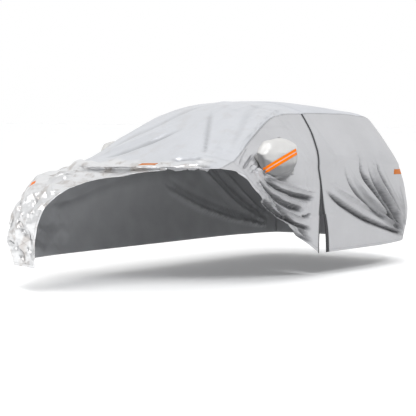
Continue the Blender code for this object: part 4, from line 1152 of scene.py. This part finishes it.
def drape():
    """Every point of the cloth with its folds and creases, the pieces' faces, the points on open edges, and the
    values that the materials read.
    """
    pieces = build_cloth()
    for name, piece in pieces.items():
        piece[1] = face_outward(name, *piece)
    points, places = weld(pieces)
    faces = {name: places[name][own] for name, (_, own) in pieces.items()}
    every = np.concatenate(list(faces.values()))
    points, painted_shade = folded(points, every, places)
    points, bag = bagged(points, places)
    open_points = free_points(points, every, places)
    hem = edge_distance(points, open_points)
    normals = directions(points, every)
    x, y = points[:, 0], points[:, 1]
    sides = np.unique(np.concatenate([places[name] for name in places if name.startswith("side")]))
    pockets = np.unique(np.concatenate([places[name] for name in MIRRORS]))
    upper = places["top_panel"]

    foil = foil_share(points)
    screen = SCREEN_FOIL * (1 - eased((y - SCREEN_FOIL_END[0]) / SCREEN_FOIL_END[1]))
    foil[upper] = np.maximum(foil[upper], screen[upper])
    foil_folds = eased((foil - SCREEN_FOIL) / (1 - SCREEN_FOIL))
    foil[pockets] = 0
    # painted shade on the pockets' undersides, fuller where the cloth faces down
    under = eased(POCKET_SHADE[0] - normals[:, 2] * POCKET_SHADE[1]) * bag
    painted_shade[pockets] = np.maximum(painted_shade[pockets], under[pockets])

    loose = LOOSE_EDGE + (1 - LOOSE_EDGE) * eased(hem / EDGE_FAR)
    plain = (PLAIN_CREASES + (1 - PLAIN_CREASES) * foil_folds) * loose
    plain[sides] = foil_folds[sides] * loose[sides]
    plain[pockets] = 0
    for strip in ("strip_bonnet", "strip_front_right"):
        plain *= eased(np.linalg.norm(points - np.array(STRIPS[strip][1]), axis=1) / STRIP_CALM)
    on_bonnet = eased((y - BONNET_CALM_Y[0]) / BONNET_CALM_Y[1]) * (np.abs(x) < BONNET_CALM_X)
    calm = 1 - BONNET_CALM * on_bonnet
    bends = creased(points, normals, plain * calm, *FOIL_CREASES)
    bends += crumpled(points, FOIL_SEED, FOIL_WAVES) * plain * calm
    bends += (crumpled(points, POCKET_SEED, POCKET_WAVES) + POCKET_FULL) * bag
    sags = creased(points, normals, np.ones(len(points)), *SAGS)
    points = points + normals * (bends + sags)[:, None]
    return points, faces, open_points, {"foil": foil, "fold": painted_shade, "hem": hem}


def make_pieces():
    points, faces, open_points, values = drape()
    silvers = {start: silver(name, *look) for start, (name, _, *look) in SILVERS.items()}
    tape = dark_tape()
    inner = lining()
    for name, own in faces.items():
        edges, times = edges_of(own)
        sewn = np.setdiff1d(np.unique(edges[times == 1]), open_points)
        start = next((key for key in SILVERS if name.startswith(key)), None)
        finish = [silvers[start], inner] if start else [tape]
        seam = edge_distance(points, sewn) if start else values["hem"]
        piece = sheet_object(name + "_cloth", points, own, finish, {**values, "seam": seam})
        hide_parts(name)
        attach(piece, "root")
    for name, (panel, middle, ahead, out, length, width, colour, lined) in STRIPS.items():
        cloth = BVHTree.FromPolygons(points.tolist(), faces[panel].tolist())
        paint = orange_strip(name + "_paint", colour, lined)
        piece = strip_on(name + "_sheet", cloth, middle, ahead, out, length, width, paint)
        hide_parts(name)
        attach(piece, "root")


# ---------------------------------------------------------------- stage
def stage():
    floor = bpy.data.meshes.new("floor")
    ways = ((-1, -1), (1, -1), (1, 1), (-1, 1))
    floor.from_pydata([(x * FLOOR_HALF, y * FLOOR_HALF, -ROOF_REST[2]) for x, y in ways], [], [(0, 1, 2, 3)])
    plane = linked("floor", floor)
    look = material("floor")
    floor.materials.append(look.surface(
        Base_Color=look.mixed(look.noise(0.6, 4.0), (0.90, 0.90, 0.90, 1), (0.94, 0.94, 0.935, 1)),
        Roughness=0.8,
        Emission_Color=(1, 1, 1, 1),
        Emission_Strength=FLOOR_GLOW,
    ))


def studio_world():
    """A bright side behind the cover, a dimmer one behind the camera."""
    world = bpy.data.worlds.new("studio")
    sky = Nodes(world)
    turn = math.radians(AZIMUTH)
    toward = sky.node("ShaderNodeVectorMath", Vector=sky.places["Generated"])
    toward.operation = "DOT_PRODUCT"
    toward.inputs[1].default_value = (-math.sin(turn), math.cos(turn), BRIGHT_RISE)
    share = sky.ramp(toward.outputs["Value"], *BRIGHT_FADE, "SMOOTHSTEP")
    sky.feed(sky.tree.nodes["Background"].inputs["Color"], sky.mixed(share, DIM_SIDE, BRIGHT_SIDE))
    bpy.context.scene.world = world


def lights():
    direction, power, angle = DAYLIGHT
    sun = bpy.data.lights.new("daylight", "SUN")
    sun.energy = power
    sun.angle = math.radians(angle)
    linked("daylight", sun).rotation_euler = Vector(direction).to_track_quat("Z", "Y").to_euler()
    for name, (where, toward, size, power, colour) in LAMPS.items():
        data = bpy.data.lights.new(name, "AREA")
        data.size = size
        data.energy = power
        data.color = colour
        lamp = linked(name, data)
        lamp.location = where
        lamp.rotation_euler = (Vector(toward) - Vector(where)).to_track_quat("-Z", "Y").to_euler()


def camera():
    data = bpy.data.cameras.new("camera")
    data.lens = LENS
    data.clip_end = CLIP_END
    made = linked("camera", data)
    made.location = CAMERA
    made.rotation_euler = (math.radians(90 - LOOK_DOWN), 0, math.radians(AZIMUTH))
    bpy.context.scene.camera = made
    bpy.context.scene.view_settings.view_transform = "Standard"


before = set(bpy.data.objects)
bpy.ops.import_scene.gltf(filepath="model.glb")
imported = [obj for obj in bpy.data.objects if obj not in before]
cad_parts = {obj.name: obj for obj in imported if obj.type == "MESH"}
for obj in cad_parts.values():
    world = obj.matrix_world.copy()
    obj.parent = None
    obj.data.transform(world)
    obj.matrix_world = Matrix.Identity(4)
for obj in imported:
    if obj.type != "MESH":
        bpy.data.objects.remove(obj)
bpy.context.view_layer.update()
make_pieces()
stage()
studio_world()
lights()
camera()
